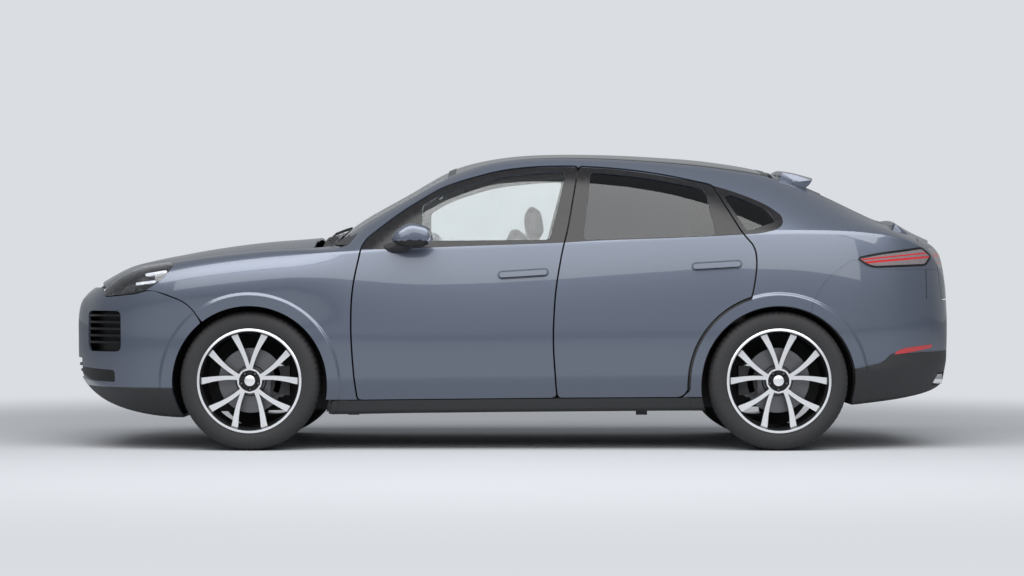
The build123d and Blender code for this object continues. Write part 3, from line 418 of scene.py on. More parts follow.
class Surface:
    """Triangles over the left half of the body, with their normals and material numbers."""

    def __init__(self, points, normals, triangles, marks=None):
        self.points, self.normals, self.triangles = points, normals, triangles
        self.marks = np.zeros(len(triangles), int) if marks is None else marks

    def cut(self, field):
        """Splits the triangles along the field's zero line; returns the field at each triangle."""
        values = field(self.points)
        values = np.where(np.abs(values) < 1e-6, 1e-6, values)
        inside = values[self.triangles] > 0
        count = inside.sum(1)
        whole = (count == 0) | (count == 3)
        mixed, mixed_inside = self.triangles[~whole], inside[~whole]
        odd_is_inside = mixed_inside.sum(1) == 1
        odd = np.argmax(mixed_inside == odd_is_inside[:, None], axis=1)
        rows = np.arange(len(mixed))
        a, b, c = (mixed[rows, (odd + k) % 3] for k in range(3))
        edges = np.sort(np.concatenate([np.stack([a, b], 1), np.stack([a, c], 1)]), axis=1)
        unique, place = np.unique(edges, axis=0, return_inverse=True)
        place = place.reshape(-1) + len(self.points)
        fi, fj = values[unique[:, 0]], values[unique[:, 1]]
        t = (fi / (fi - fj))[:, None]
        points = self.points[unique[:, 0]] * (1 - t) + self.points[unique[:, 1]] * t
        normals = self.normals[unique[:, 0]] * (1 - t) + self.normals[unique[:, 1]] * t
        normals = normalised(normals)
        ab, ac = place[: len(mixed)], place[len(mixed):]
        marks = self.marks[~whole]
        triangles = np.concatenate([
            self.triangles[whole], np.stack([a, ab, ac], 1), np.stack([ab, b, c], 1),
            np.stack([ab, c, ac], 1),
        ])
        side = np.concatenate([
            inside[whole][:, 0], odd_is_inside, ~odd_is_inside, ~odd_is_inside
        ])
        cut = Surface(
            np.concatenate([self.points, points]), np.concatenate([self.normals, normals]),
            triangles, np.concatenate([self.marks[whole], marks, marks, marks]),
        )
        return cut, side

    def keep(self, *fields):
        """The part of the surface where every field is positive."""
        surface = self
        for field in fields:
            surface, side = surface.cut(field)
            surface = Surface(
                surface.points, surface.normals, surface.triangles[side], surface.marks[side]
            ).packed()
        return surface

    def marked(self, mark, *fields):
        """The surface with a material number where every field is positive."""
        surface, chosen = self.cut(both_of(*fields))
        marks = np.where(chosen, mark, surface.marks)
        return Surface(surface.points, surface.normals, surface.triangles, marks)

    def packed(self):
        """The surface without unused points."""
        used, places = np.unique(self.triangles, return_inverse=True)
        return Surface(
            self.points[used], self.normals[used], places.reshape(self.triangles.shape), self.marks
        )

    def mirrored(self):
        """The same surface on the right half."""
        flip = np.array([1, -1, 1])
        return Surface(self.points * flip, self.normals * flip, self.triangles[:, ::-1], self.marks)

    def joined(self):
        """Both halves, welded along the centre line."""
        other, index = self.mirrored(), np.arange(len(self.points))
        places = np.where(np.abs(self.points[:, 1]) < 1e-6, index, index + len(index))
        return Surface(
            np.concatenate([self.points, other.points]), np.concatenate([self.normals, other.normals]),
            np.concatenate([self.triangles, places[other.triangles]]),
            np.concatenate([self.marks, other.marks]),
        ).packed()

    def lifted(self, height):
        """The surface moved out along its normals."""
        return Surface(self.points + self.normals * height, self.normals, self.triangles, self.marks)

    def lined(self, mark, field, half, *where):
        """The surface with a material number along the field's zero line, half wide each way."""
        surface, _ = self.cut(lambda p: field(p) - half)
        surface, _ = surface.cut(lambda p: field(p) + half)
        for limit in where:
            surface, _ = surface.cut(limit)
        middle = surface.points[surface.triangles].mean(1)
        chosen = np.abs(field(middle)) < half
        for limit in where:
            chosen &= limit(middle) > 0
        marks = np.where(chosen, mark, surface.marks)
        return Surface(surface.points, surface.normals, surface.triangles, marks)

    def finer(self):
        """The surface with each triangle split in four."""
        edges = np.sort(self.edges(), axis=1)
        unique, place = np.unique(edges, axis=0, return_inverse=True)
        ab, bc, ca = np.split(place.reshape(-1) + len(self.points), 3)
        a, b, c = self.triangles.T
        quarters = ((a, ab, ca), (ab, b, bc), (ca, bc, c), (ab, bc, ca))
        return Surface(
            np.concatenate([self.points, self.points[unique].mean(1)]),
            np.concatenate([self.normals, normalised(self.normals[unique].mean(1))]),
            np.concatenate([np.stack(quarter, 1) for quarter in quarters]), np.tile(self.marks, 4),
        )

    def flattened(self):
        """The surface with the points of the centre line put back on it."""
        self.points[:, 1] = np.where(np.abs(self.points[:, 1]) < 1e-5, 0, self.points[:, 1])
        return self

    def edges(self):
        """Every triangle's three edges, in its direction."""
        return np.concatenate([self.triangles[:, [k, (k + 1) % 3]] for k in range(3)])

    def border(self):
        """The open edges, in their triangles' direction."""
        edges = self.edges()
        key = np.sort(edges, axis=1)
        _, place, count = np.unique(key, axis=0, return_inverse=True, return_counts=True)
        return edges[count[place.reshape(-1)] == 1]


def blend(t, a, leaving, b, reaching):
    """A cubic curve from a to b with its tangents at the two ends."""
    return (
        (2 * t**3 - 3 * t**2 + 1) * a + (t**3 - 2 * t**2 + t) * leaving
        + (-2 * t**3 + 3 * t**2) * b + (t**3 - t**2) * reaching
    )


def hermite(s, values, at):
    """A smooth curve through the values at s, without overshoot."""
    h = np.diff(s)[:, None]
    slope = np.diff(values, axis=0) / h
    tangent = np.zeros_like(values)
    tangent[0], tangent[-1] = slope[0], slope[-1]
    middle = (slope[:-1] * h[1:] + slope[1:] * h[:-1]) / (h[1:] + h[:-1])
    limit = 2.5 * np.minimum(np.abs(slope[:-1]), np.abs(slope[1:]))
    same = slope[:-1] * slope[1:] > 0
    tangent[1:-1] = np.where(same, np.sign(middle) * np.minimum(np.abs(middle), limit), 0.25 * middle)
    i = np.clip(np.searchsorted(s, at) - 1, 0, len(s) - 2)
    t = ((at - s[i]) / (s[i + 1] - s[i]))[:, None]
    width = (s[i + 1] - s[i])[:, None]
    return blend(t, values[i], width * tangent[i], values[i + 1], width * tangent[i + 1])


def section_controls():
    """Eight control points for each closely spaced section along the body."""
    rows = np.array(SECTIONS, float) / 1000
    x, top = rows[:, 0], rows[:, 11]
    crown_y = rows[:, 9] * CROWN_SHARE[0]
    crown_z = top - (top - rows[:, 10]) * CROWN_SHARE[1]
    zero = np.zeros(len(rows))
    pairs = [(zero, rows[:, 2])] + [(rows[:, k], rows[:, k + 1]) for k in (1, 3, 5, 7, 9)]
    pairs += [(crown_y, crown_z), (zero, top)]
    values = np.stack([x] + [column for pair in pairs for column in pair], axis=1)
    path = np.stack([x, rows[:, 5], top], axis=1)
    s = np.concatenate([[0], np.cumsum(np.linalg.norm(np.diff(path, axis=0), axis=1))])
    at = np.linspace(0, s[-1], int(s[-1] / STEP) + 1)
    fine = hermite(s, values, at)
    reach = int(0.11 / STEP)
    weights = np.exp(-0.5 * (np.arange(-reach, reach + 1) * STEP / 0.04) ** 2)
    weights /= weights.sum()
    head = 2 * fine[0] - fine[reach:0:-1]
    tail = 2 * fine[-1] - fine[-2:-reach - 2:-1]
    padded = np.concatenate([head, fine, tail])
    fine = np.stack([np.convolve(column, weights, "valid") for column in padded.T], axis=1)
    controls = np.zeros((len(fine), 8, 3))
    controls[:, :, 0] = fine[:, :1]
    controls[:, :, 1] = fine[:, 1::2]
    controls[:, :, 2] = fine[:, 2::2]
    return controls


def section_curves(controls):
    """Each section as a curve through its control points, with creases low down."""
    chords = np.diff(controls, axis=1)
    length = np.linalg.norm(chords, axis=2, keepdims=True)
    unit = normalised(chords)
    x = controls[:, :1, 0]
    belt_share = np.clip((x - 0.9) / 0.3, 0, 1) * 0.28 + 0.22
    shares = {3: 0.5, 4: belt_share, 5: 0.45, 6: 0.5}
    starts, ends = unit.copy(), unit.copy()
    for k, share in shares.items():
        ends[:, k - 1] = unit[:, k - 1] * (1 - share) + unit[:, k] * share
        starts[:, k] = unit[:, k] * (1 - share) + unit[:, k - 1] * share
    ends[:, 6] = (0, -1, 0)
    starts[:, 2] = unit[:, 2] * 1.1 - unit[:, 3] * 0.1
    starts, ends = normalised(starts) * length, normalised(ends) * length
    pieces = []
    for k, steps in enumerate(STEPS):
        t = np.linspace(0, 1, steps + 1)[: steps + (k == len(STEPS) - 1), None]
        a, b = controls[:, None, k], controls[:, None, k + 1]
        pieces.append(blend(t, a, starts[:, None, k], b, ends[:, None, k]))
    return np.concatenate(pieces, axis=1)


def body_surface():
    """The left half of the whole body, closed at the nose and the tail."""
    sizes, _ = settings()
    rings = section_curves(section_controls())
    caps = []
    for ring, way in ((rings[0], 1), (rings[-1], -1)):
        middle = np.array([ring[0, 0], 0, (ring[0, 2] + ring[-1, 2]) / 2])
        steps = np.linspace(0, 1, 22)[:-1] if way > 0 else np.linspace(1, 0, 22)[1:]
        cap = [middle + (ring - middle) * k + np.array([way * 0.004 * (1 - k * k), 0, 0]) for k in steps]
        caps.append(np.array(cap))
    grid = np.concatenate([caps[0], rings, caps[1]])
    along, over = np.gradient(grid, axis=0), np.gradient(grid, axis=1)
    normals = np.cross(along, over)
    size = np.linalg.norm(normals, axis=2, keepdims=True)
    normals = np.where(size > 1e-12, normals / np.maximum(size, 1e-12), 0)
    normals[0], normals[-1] = (1, 0, 0), (-1, 0, 0)
    normals[:, (0, -1), 1] = 0
    grid[:, (0, -1), 1] = 0
    rows, columns = grid.shape[:2]
    index = np.arange(rows * columns).reshape(rows, columns)
    a, b, c, d = index[:-1, :-1], index[1:, :-1], index[1:, 1:], index[:-1, 1:]
    triangles = np.concatenate([
        np.stack([a, b, c], -1).reshape(-1, 3), np.stack([a, c, d], -1).reshape(-1, 3)
    ])
    points = grid.reshape(-1, 3)
    surface = Surface(points, normalised(normals).reshape(-1, 3), wide(points, triangles, 1e-10))
    for place in AXLES:
        surface = flared(surface, place, sizes.flare_depth)
    return surface.lifted(PROUD).flattened()


def flared(surface, place, depth):
    """The surface with a wheel arch's flare raised on it, its edge following the arch."""
    x, width = AXLES[place][0], 0.020
    for k in range(6):
        surface, _ = surface.cut(arch_field(place, FLARE_RADIUS + width * (0.5 - k / 5)))
    points, normals = surface.points, surface.normals.copy()
    dx, dz = points[:, 0] - x, points[:, 2] - ARCH_Z
    r = np.hypot(dx, dz)
    t = np.clip((FLARE_RADIUS + width / 2 - r) / width, 0, 1)
    reach = np.clip((points[:, 1] - 0.6) / 0.15, 0, 1)
    slope = -depth * reach * 6 * t * (1 - t) / width
    points[:, 1] += depth * reach * t * t * (3 - 2 * t)
    normals[:, 0] -= normals[:, 1] * slope * dx / r
    normals[:, 2] -= normals[:, 1] * slope * dz / r
    return Surface(points, normalised(normals), surface.triangles, surface.marks)


BODY = {}


def body():
    """The body's surface, made once."""
    if "surface" not in BODY:
        BODY["surface"] = body_surface()
    return BODY["surface"]


# Making objects


def new_object(name, points, faces, keys, marks=None, normals=None, smooth=30.0):
    """A mesh object with its materials."""
    mesh = bpy.data.meshes.new(name)
    mesh.from_pydata([tuple(p) for p in points], [], [tuple(int(i) for i in f) for f in faces])
    for key in keys:
        mesh.materials.append(mat(key))
    if marks is not None:
        mesh.polygons.foreach_set("material_index", np.asarray(marks, np.int32))
    mesh.polygons.foreach_set("use_smooth", np.ones(len(mesh.polygons), bool))
    if normals is not None:
        mesh.normals_split_custom_set_from_vertices([tuple(n) for n in normals])
    else:
        work = bmesh.new()
        work.from_mesh(mesh)
        bmesh.ops.remove_doubles(work, verts=work.verts, dist=1e-6)
        bmesh.ops.recalc_face_normals(work, faces=work.faces)
        work.to_mesh(mesh)
        work.free()
        if smooth:
            mesh.set_sharp_from_angle(angle=math.radians(smooth))
    made = bpy.data.objects.new(name, mesh)
    bpy.context.scene.collection.objects.link(made)
    return made


def settle(made, body_name, slot_name, *nodes):
    """Hangs a piece on its body and hides the frame's nodes that it stands for."""
    if nodes:
        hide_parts(*nodes)
    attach(made, body_name)
    return made


def shell(name, surface, keys, depth=None, set_in=0.0, edge=0, back=None):
    """A panel: the surface, its turned edge and its back."""
    if depth is None:
        depth = settings()[0].skin_depth
    points, normals, triangles = surface.points, surface.normals, surface.triangles
    outer, inner = points - normals * set_in, points - normals * (set_in + depth)
    i, j = surface.border().T
    count, rim = len(points), len(i)
    out = normalised(np.cross(points[j] - points[i], normals[i]))
    all_points = np.concatenate([outer, inner, outer[i], outer[j], inner[j], inner[i]])
    all_normals = np.concatenate([normals, -normals, np.tile(out, (4, 1))])
    edge_faces = np.stack([2 * count + k * rim + np.arange(rim) for k in (1, 0, 3, 2)], 1)
    faces = [*triangles, *(triangles[:, ::-1] + count), *edge_faces]
    inner_marks = surface.marks if back is None else [back] * len(triangles)
    marks = [*surface.marks, *inner_marks, *([edge] * rim)]
    return new_object(name, all_points, faces, keys, marks, all_normals)


def quads(count, size, ring, closed):
    """Faces between neighbouring loops of size points; ring also joins the last to the first."""
    faces = []
    for a in range(count if ring else count - 1):
        b = (a + 1) % count
        for c in range(size if closed else size - 1):
            d = (c + 1) % size
            faces.append((a * size + c, a * size + d, b * size + d, b * size + c))
    return faces


def loft(loops, closed=True, caps=True):
    """Points and faces of a skin over loops with as many points each."""
    loops = np.array(loops, float)
    count, size = loops.shape[:2]
    faces = quads(count, size, False, closed)
    if caps:
        faces.append(tuple(reversed(range(size))))
        faces.append(tuple((count - 1) * size + b for b in range(size)))
    return loops.reshape(-1, 3), faces


def lathe(profile, segments, ripple=None):
    """Points and faces of a closed profile of y, r turned about the Y axis."""
    profile = np.array(profile, float)
    loops = []
    for index, angle in enumerate(np.linspace(0, 2 * math.pi, segments, endpoint=False)):
        r = profile[:, 1] if ripple is None else profile[:, 1] - ripple(index, profile)
        loops.append(np.stack([r * math.cos(angle), profile[:, 0], r * math.sin(angle)], 1))
    return np.concatenate(loops), quads(segments, len(profile), True, True)


def tube(path, radius, sides=12, closed=False):
    """Points and faces of a round bar along a path."""
    path = [Vector(p) for p in path]
    loops = []
    up = Vector((0, 0, 1))
    for index, point in enumerate(path):
        after = path[(index + 1) % len(path)] if closed or index + 1 < len(path) else point
        before = path[index - 1] if closed or index else point
        along = (after - before).normalized()
        side = along.cross(up if abs(along.z) < 0.9 else Vector((1, 0, 0))).normalized()
        other = side.cross(along)
        loops.append([
            point + (side * math.cos(a) + other * math.sin(a)) * radius
            for a in np.linspace(0, 2 * math.pi, sides, endpoint=False)
        ])
    if closed:
        loops.append(loops[0])
    return loft(loops, caps=not closed)


def merged(*parts):
    """Several lists of points and faces as one, with the part's number for each face."""
    points, faces, marks, first = [], [], [], 0
    for mark, (p, f) in parts:
        points.extend(p)
        faces.extend(tuple(i + first for i in face) for face in f)
        marks.extend([mark] * len(f))
        first += len(p)
    return np.array(points, float), faces, marks


def moved(part, offset=(0, 0, 0), turn=0.0, axis="Y", scale=(1, 1, 1)):
    """The points turned about an axis and moved."""
    points, faces = part
    matrix = Matrix.Rotation(math.radians(turn), 3, axis)
    points = np.array(points) * np.array(scale) @ np.array(matrix).T + np.array(offset)
    if scale[0] * scale[1] * scale[2] < 0:
        faces = [tuple(reversed(face)) for face in faces]
    return points, faces


def rounded_box(size, radius, steps=4, crown=0.0, rows=1):
    """A box with rounded edges and faces that bow out by crown."""
    half = np.array(size, float) / 2
    radius = min(radius, *(half * 0.98))
    core = half - radius
    straight = np.linspace(-1, 1, 2 * rows + 1)
    coords = []
    for k in range(3):
        low = [(-core[k], math.tan(a)) for a in np.linspace(-math.pi / 4, 0, steps, endpoint=False)]
        mid = [(s * core[k], 0.0) for s in straight]
        high = [(core[k], math.tan(a)) for a in np.linspace(0, math.pi / 4, steps + 1)[1:]]
        coords.append(low + mid + high)
    points, faces = [], []
    for k in range(3):
        u_axis, v_axis = (k + 1) % 3, (k + 2) % 3
        for way in (-1, 1):
            us, vs = coords[u_axis], coords[v_axis]
            first = len(points)
            for u_core, u_tan in us:
                for v_core, v_tan in vs:
                    direction = np.zeros(3)
                    direction[k], direction[u_axis], direction[v_axis] = way, u_tan, v_tan
                    direction /= np.linalg.norm(direction)
                    base = np.zeros(3)
                    base[k], base[u_axis], base[v_axis] = way * core[k], u_core, v_core
                    point = base + direction * radius
                    bow = (1 - (u_core / half[u_axis]) ** 2) * (1 - (v_core / half[v_axis]) ** 2)
                    point[k] += way * crown * bow * max(0, 2 * direction[k] ** 2 - 1)
                    points.append(point)
            n = len(vs)
            for a in range(len(us) - 1):
                for b in range(n - 1):
                    at = first + a * n + b
                    quad = (at, at + n, at + n + 1, at + 1)
                    faces.append(quad if way > 0 else quad[::-1])
    return np.array(points), faces


# Fields of the openings and panels that several pieces share


def above(height):
    """The field above a height."""
    return lambda p: p[:, 2] - height


def beyond(y):
    """The field further out than y."""
    return lambda p: p[:, 1] - y


def both_of(*fields):
    """The field where all the fields hold."""
    return lambda p: np.min([field(p) for field in fields], axis=0)


def any_of(*fields):
    """The field where one of the fields holds."""
    return lambda p: np.max([field(p) for field in fields], axis=0)


def capsule(start, end, radius):
    """A rounded bar's outline over the side view, in metres."""
    (x0, z0), (x1, z1) = start, end

    def field(p):
        dx, dz = x1 - x0, z1 - z0
        t = np.clip(((p[:, 0] - x0) * dx + (p[:, 2] - z0) * dz) / (dx * dx + dz * dz), 0, 1)
        away = np.hypot(p[:, 0] - x0 - t * dx, p[:, 2] - z0 - t * dz)
        return np.minimum(radius - away, p[:, 1] - DOOR_SIDE)

    return field


def gate_field():
    """The tailgate's field: a neck around the backlight and a wider foot past the deck."""
    x, z = GATE_HINGE
    past = lambda p: np.hypot(p[:, 0] - x, p[:, 2] - z) - GATE_STEP
    return any_of(on_rear(GATE_NECK, GATE_FRONT), both_of(on_rear(GATE_FOOT, GATE_FRONT), past))


def intakes():
    """The field of the openings in the front bumper: upper, lower and one at each side."""
    side = 0.56
    return any_of(
        box_field((2.3, 2.7), (-1, 0.43), (0.56, 0.76)),
        box_field((2.2, 2.7), (-1, side), (0.39, 0.50)),
        both_of(on_side(SIDE_INTAKE, 30), beyond(side)),
    )


def rear_door_field():
    """The rear door's field, cut away around the wheel arch's flare."""
    return both_of(on_side(REAR_DOOR), less(arch_field("rear", FLARE_RADIUS)))


def panel(name, surface, keys, body_name, slot_name, *nodes, **options):
    """A shell that hangs on its body."""
    return settle(shell(name, surface, keys.split(), **options), body_name, slot_name, *nodes)


def solid(name, parts, keys, body_name, slot_name, *nodes, smooth=30.0, fill=None):
    """Parts with their material numbers as one piece that hangs on its body; fill is not used."""
    points, faces, marks = merged(*parts)
    made = new_object(name, points, faces, keys.split(), marks, smooth=smooth)
    return settle(made, body_name, slot_name, *nodes)


def rounded_loop(centre, half, x, sharpness, count):
    """A rounded rectangle around the X direction."""
    loop = []
    for angle in np.linspace(0, 2 * math.pi, count, endpoint=False):
        c, s = math.cos(angle), math.sin(angle)
        y = centre[0] + half[0] * math.copysign(abs(c) ** sharpness, c)
        loop.append((x, y, centre[1] + half[1] * math.copysign(abs(s) ** sharpness, s)))
    return loop


def section(x, y, z):
    """A loop at one y through the values of x and z."""
    return np.stack([x, np.full(len(x), y), z], 1)


class CoupeHood(bpy.types.Operator):
    """Makes the hood's skin"""

    bl_idname = "coupe.hood"
    bl_label = "Hood"

    def execute(self, context):
        skin = body().keep(on_top(HOOD_PANEL)).joined()
        panel("hood_skin", skin, "paint inner_paint", "hood", "paint", "hood", back=1)
        return {"FINISHED"}


class CoupeFrontPanels(bpy.types.Operator):
    """Makes the fenders, the front bumper, its slats and the screen behind them"""

    bl_idname = "coupe.front_panels"
    bl_label = "Front panels"

    dark_height = 0.345
    corner_band = ((2440, 452), (2190, 438), (2185, 372), (2420, 380))
    slat_half = 0.006

    def execute(self, context):
        hood, lamp = less(on_top(HOOD_PANEL), SHUT), less(on_side(HEADLAMP), FIXED_GAP)
        arch = less(arch_field("front", ARCH_RADIUS))
        fender = body().keep(
            on_side(FENDER), beyond(CABIN_SIDE), less(on_side(FRONT_DOOR), DOOR_GAP), arch, hood,
            lamp, less(on_side(FRONT_BUMPER), FIXED_GAP),
            less(box_field((0, 1.106), (-1, COWL_HALF), (0, SKY))),
        ).joined()
        panel("fender_skins", fender, "paint inner_paint", "root", "paint", "fenders", back=1)
        bumper = body().keep(on_side(FRONT_BUMPER), arch, hood, lamp, less(intakes()))
        bumper = bumper.marked(1, lambda p: self.dark_height - p[:, 2])
        bumper = bumper.marked(2, on_side(self.corner_band, 12)).joined()
        panel(
            "front_bumper_skin", bumper, "paint plastic black", "root", "paint", "front_bumper",
            depth=0.014,
        )
        bands = any_of(*[
            box_field((2.15, 2.7), (-1, 1), (z - self.slat_half, z + self.slat_half)) for z in SLATS
        ])
        slats = body().keep(intakes()).finer().finer().keep(bands).joined()
        panel(
            "front_slats", slats, "black", "root", "gloss_trim", "front_grille",
            depth=0.05, set_in=0.003,
        )
        screen = body().keep(shrunk(intakes(), -0.045)).joined()
        panel("intake_screen", screen, "plastic", "root", "trim", depth=0.004, set_in=0.062)
        return {"FINISHED"}


class CoupeLamps(bpy.types.Operator):
    """Makes the headlamps, the tail lamps, the light bar and the reflectors"""

    bl_idname = "coupe.lamps"
    bl_label = "Lamps"

    light_bars = (
        ((2022, 981), (1900, 1001), (1896, 985), (2018, 965)),
        ((2072, 927), (1955, 940), (1952, 924), (2069, 911)),
    )
    cells = (
        (((2150, 905), (2085, 920), (2080, 872), (2150, 866)), 12),
        (((2060, 962), (2005, 972), (2000, 940), (2055, 930)), 10),
    )
    reflector = (
        (-2090, 524), (-2118, 546), (-2156, 560), (-2323, 579), (-2323, 560), (-2184, 535),
    )
    # Height, its x, slope and half height of each red bar in the tail lamps
    tail_bars = ((1.044, 2.1, 0.09, 0.006), (1.074, 2.2, 0.10, 0.004))
    # Height and half height of each red bar across the tailgate
    gate_bars = ((1.072, 0.010), (1.030, 0.005))

    def execute(self, context):
        hood = less(on_top(HOOD_PANEL), SHUT)
        lamp = body().keep(on_side(HEADLAMP), hood).joined()
        panel("headlamp_lenses", lamp, "lens", "root", "lamp", "headlamps", depth=0.003)
        panel("headlamp_bowls", lamp, "lamp_dark", "root", "gloss_trim", depth=0.003, set_in=0.05)
        near = body().keep(on_side(HEADLAMP)).finer().finer()
        rim = near.keep(hood, less(shrunk(on_side(HEADLAMP), 0.007))).joined()
        panel("headlamp_frames", rim, "black", "root", "gloss_trim", depth=0.045, set_in=0.004)
        bars = near.keep(any_of(*[on_side(bar, 5) for bar in self.light_bars])).joined()
        panel("daytime_lights", bars, "lamp_white", "root", "lamp", depth=0.012, set_in=0.016)
        cells = near.keep(any_of(*[on_side(cell, corner) for cell, corner in self.cells])).joined()
        panel("headlamp_cells", cells, "lamp_dark", "root", "lamp", depth=0.02, set_in=0.024)
        tail = body().keep(on_side(TAIL_LAMP), less(gate_field(), SHUT)).finer()
        within = shrunk(on_side(TAIL_LAMP), 0.012)
        for z, x, slope, half in self.tail_bars:
            tail = tail.lined(1, lambda p: p[:, 2] - z + (p[:, 0] + x) * slope, half, within)
        tail = tail.marked(2, less(within)).joined()
        panel(
            "tail_lamp_lenses", tail, "smoke red black", "root", "tail_lamp", "tail_lamps",
            depth=0.03,
        )
        bar = body().keep(on_rear(LIGHT_BAR, GATE_FRONT, 6), gate_field())
        for z, half in self.gate_bars:
            bar = bar.lined(1, lambda p: p[:, 2] - z, half)
        panel(
            "light_bar_lens", bar.joined(), "smoke red", "tailgate", "tail_lamp", "light_bar",
            depth=0.03,
        )
        spot = body().lifted(0.002).keep(on_side(self.reflector, 4)).joined()
        panel("rear_reflectors", spot, "red", "root", "tail_lamp", depth=0.004)
        return {"FINISHED"}


class CoupeBodySides(bpy.types.Operator):
    """Makes the body's sides and roof edges, the sills and the rear bumper and valance"""

    bl_idname = "coupe.body_sides"
    bl_label = "Body sides"

    sill_top = 0.292
    shutline_x = -2.285
    # x of each ring along a tailpipe's trim, and how much wider it is than the first
    tip_rings = (
        (-2.210, 0), (-2.395, 0), (-2.400, -0.002), (-2.399, -0.008), (-2.392, -0.010),
        (-2.23, -0.010),
    )

    def execute(self, context):
        arches = [less(arch_field(place, ARCH_RADIUS)) for place in AXLES]
        gate, lamp = less(gate_field(), SHUT), less(on_side(TAIL_LAMP), FIXED_GAP)
        cowl = box_field((0.9, COWL_FRONT), (-1, COWL_HALF - FIXED_GAP), (0.9, SKY))
        fender = both_of(on_side(FENDER), beyond(CABIN_SIDE), less(cowl, -FIXED_GAP))
        roof_end = both_of(
            lambda p: p[:, 0] - GATE_FRONT, lambda p: -1.440 - p[:, 0], beyond(-1),
            lambda p: 0.55 - p[:, 1],
        )
        others = [
            less(on_side(outline), FIXED_GAP)
            for outline in (REAR_BUMPER, REAR_VALANCE, FRONT_BUMPER, HEADLAMP)
        ]
        sides = body().keep(
            above(self.sill_top), *arches, gate, lamp, less(fender),
            less(on_side(FRONT_DOOR), DOOR_GAP), less(rear_door_field(), DOOR_GAP),
            less(on_top(WINDSCREEN)), less(on_top(ROOF_GLASS)), less(on_side(QUARTER_WINDOW)),
            *others, less(on_top(HOOD_PANEL), SHUT), lambda p: COWL_FRONT - p[:, 0],
            less(box_field((HOOD_SWEEP_X, 1.2), (-1, 0.706), (0.9, SKY))), less(roof_end),
        )
        sides = sides.marked(1, both_of(on_side(DAYLIGHT), beyond(DOOR_SIDE)))
        sides = sides.marked(
            1, both_of(lambda p: 0.545 - p[:, 1], above(1.40), lambda p: p[:, 0] + 1.6)
        )
        sides = sides.marked(2, both_of(cowl, lambda p: p[:, 0] - 0.9)).joined()
        panel("body_side_skins", sides, "paint black plastic", "root", "paint", depth=0.009)
        sills = body().keep(on_side(SILL_TRIM), beyond(0.5), *arches).joined()
        panel("sill_skins", sills, "plastic", "root", "trim", "sill_trims")
        bumper = body().keep(
            on_side(REAR_BUMPER), beyond(-1), gate, lamp, arches[1], lambda p: -1.6 - p[:, 0]
        )
        bumper = bumper.lined(
            1, lambda p: p[:, 0] - self.shutline_x, 0.002, above(0.829), beyond(CABIN_SIDE)
        )
        panel("rear_bumper_skin", bumper.joined(), "paint black", "root", "paint", "rear_bumper")
        tips = box_field((-2.5, -2.1), (0.540, 0.660), (0.350, 0.420))
        valance = body().keep(on_side(REAR_VALANCE), arches[1], less(tips)).joined()
        panel("rear_valance_skin", valance, "plastic", "root", "trim", "rear_valance")
        loops = [
            rounded_loop((0.600, 0.385), (0.055 + grow, 0.030 + grow), x, 0.4, 48)
            for x, grow in self.tip_rings
        ]
        tip = loft(loops, caps=False)
        pair = [(0, tip), (0, moved(tip, scale=(1, -1, 1)))]
        solid("exhaust_trims", pair, "chrome", "root", "bright", "exhaust_tips")
        return {"FINISHED"}


class CoupeDoors(bpy.types.Operator):
    """Makes each door's skin, inner panel, armrest, handle and window"""

    bl_idname = "coupe.doors"
    bl_label = "Doors"

    # Handle's front and rear ends in the side view, the glass's material and its slot
    handles = {
        "front": ((0.055, 0.960), (-0.178, 0.975), "glass", "glass"),
        "rear": ((-1.005, 1.006), (-1.235, 1.020), "tint", "dark_glass"),
    }
    trim_inset = 0.1
    lining_top = 1.30
    armrest_size = (0.44, 0.05, 0.07)
    armrest_y_z = (0.845, 0.72)

    def execute(self, context):
        arch = less(arch_field("rear", FLARE_RADIUS), DOOR_GAP)
        outlines = {
            "front": (on_side(FRONT_DOOR), on_side(FRONT_WINDOW)),
            "rear": (both_of(on_side(REAR_DOOR), arch), on_side(REAR_WINDOW)),
        }
        flare = less(arch_field("rear", FLARE_RADIUS + 0.098))
        for place, (outline, window) in outlines.items():
            start, end, glass, slot = self.handles[place]
            skin = body().keep(outline, beyond(DOOR_SIDE), less(window))
            skin = skin.marked(1, on_side(DAYLIGHT))
            inner = body().keep(
                shrunk(outline, self.trim_inset), beyond(DOOR_SIDE), less(window, 0.014), flare,
                lambda p: self.lining_top - p[:, 2],
            )
            inner = inner.marked(1, lambda p: 0.17 - np.abs(p[:, 2] - 0.80))
            pane = body().keep(shrunk(window, 0.0005), beyond(CABIN_SIDE))
            area = body().keep(capsule(start, end, 0.05)).finer().finer()
            # A flat patch of darker paint just over the skin around the handle: painted shade of the
            # handle's recess.
            recess_shade = area.lifted(0.0004).keep(capsule(start, end, 0.024))
            handle = area.keep(capsule(start, end, 0.014)).lifted(0.016)
            middle = ((start[0] + end[0]) / 2 + 0.05, *self.armrest_y_z)
            rest = moved(rounded_box(self.armrest_size, 0.02, crown=0.006), middle)
            for side, sign in SIDES:
                door = f"{side}_{place}_door"
                pieces = (
                    (f"{door}_skin", skin, "paint black inner_paint", "paint", (door,), {"back": 2}),
                    (f"{door}_lining", inner, "plastic leather", "leather", (),
                     {"depth": 0.064, "set_in": 0.0145}),
                    (f"{side}_{place}_glass", pane, glass, slot, (f"{side}_{place}_window",), PANE),
                    # The handle's painted recess shade, a darker paint patch over the skin
                    (f"{door}_handle_recess_shade", recess_shade, "inner_paint", "paint", (), {"depth": 0.002}),
                    (f"{door}_handle", handle, "paint", "paint", (), {"depth": 0.009}),
                )
                for name, surface, keys, slot_name, nodes, options in pieces:
                    surface = surface if sign > 0 else surface.mirrored()
                    panel(name, surface, keys, door, slot_name, *nodes, **options)
                armrest = [(0, moved(rest, scale=(1, sign, 1)))]
                solid(f"{door}_armrest", armrest, "leather", door, "leather", fill=0.85)
        return {"FINISHED"}


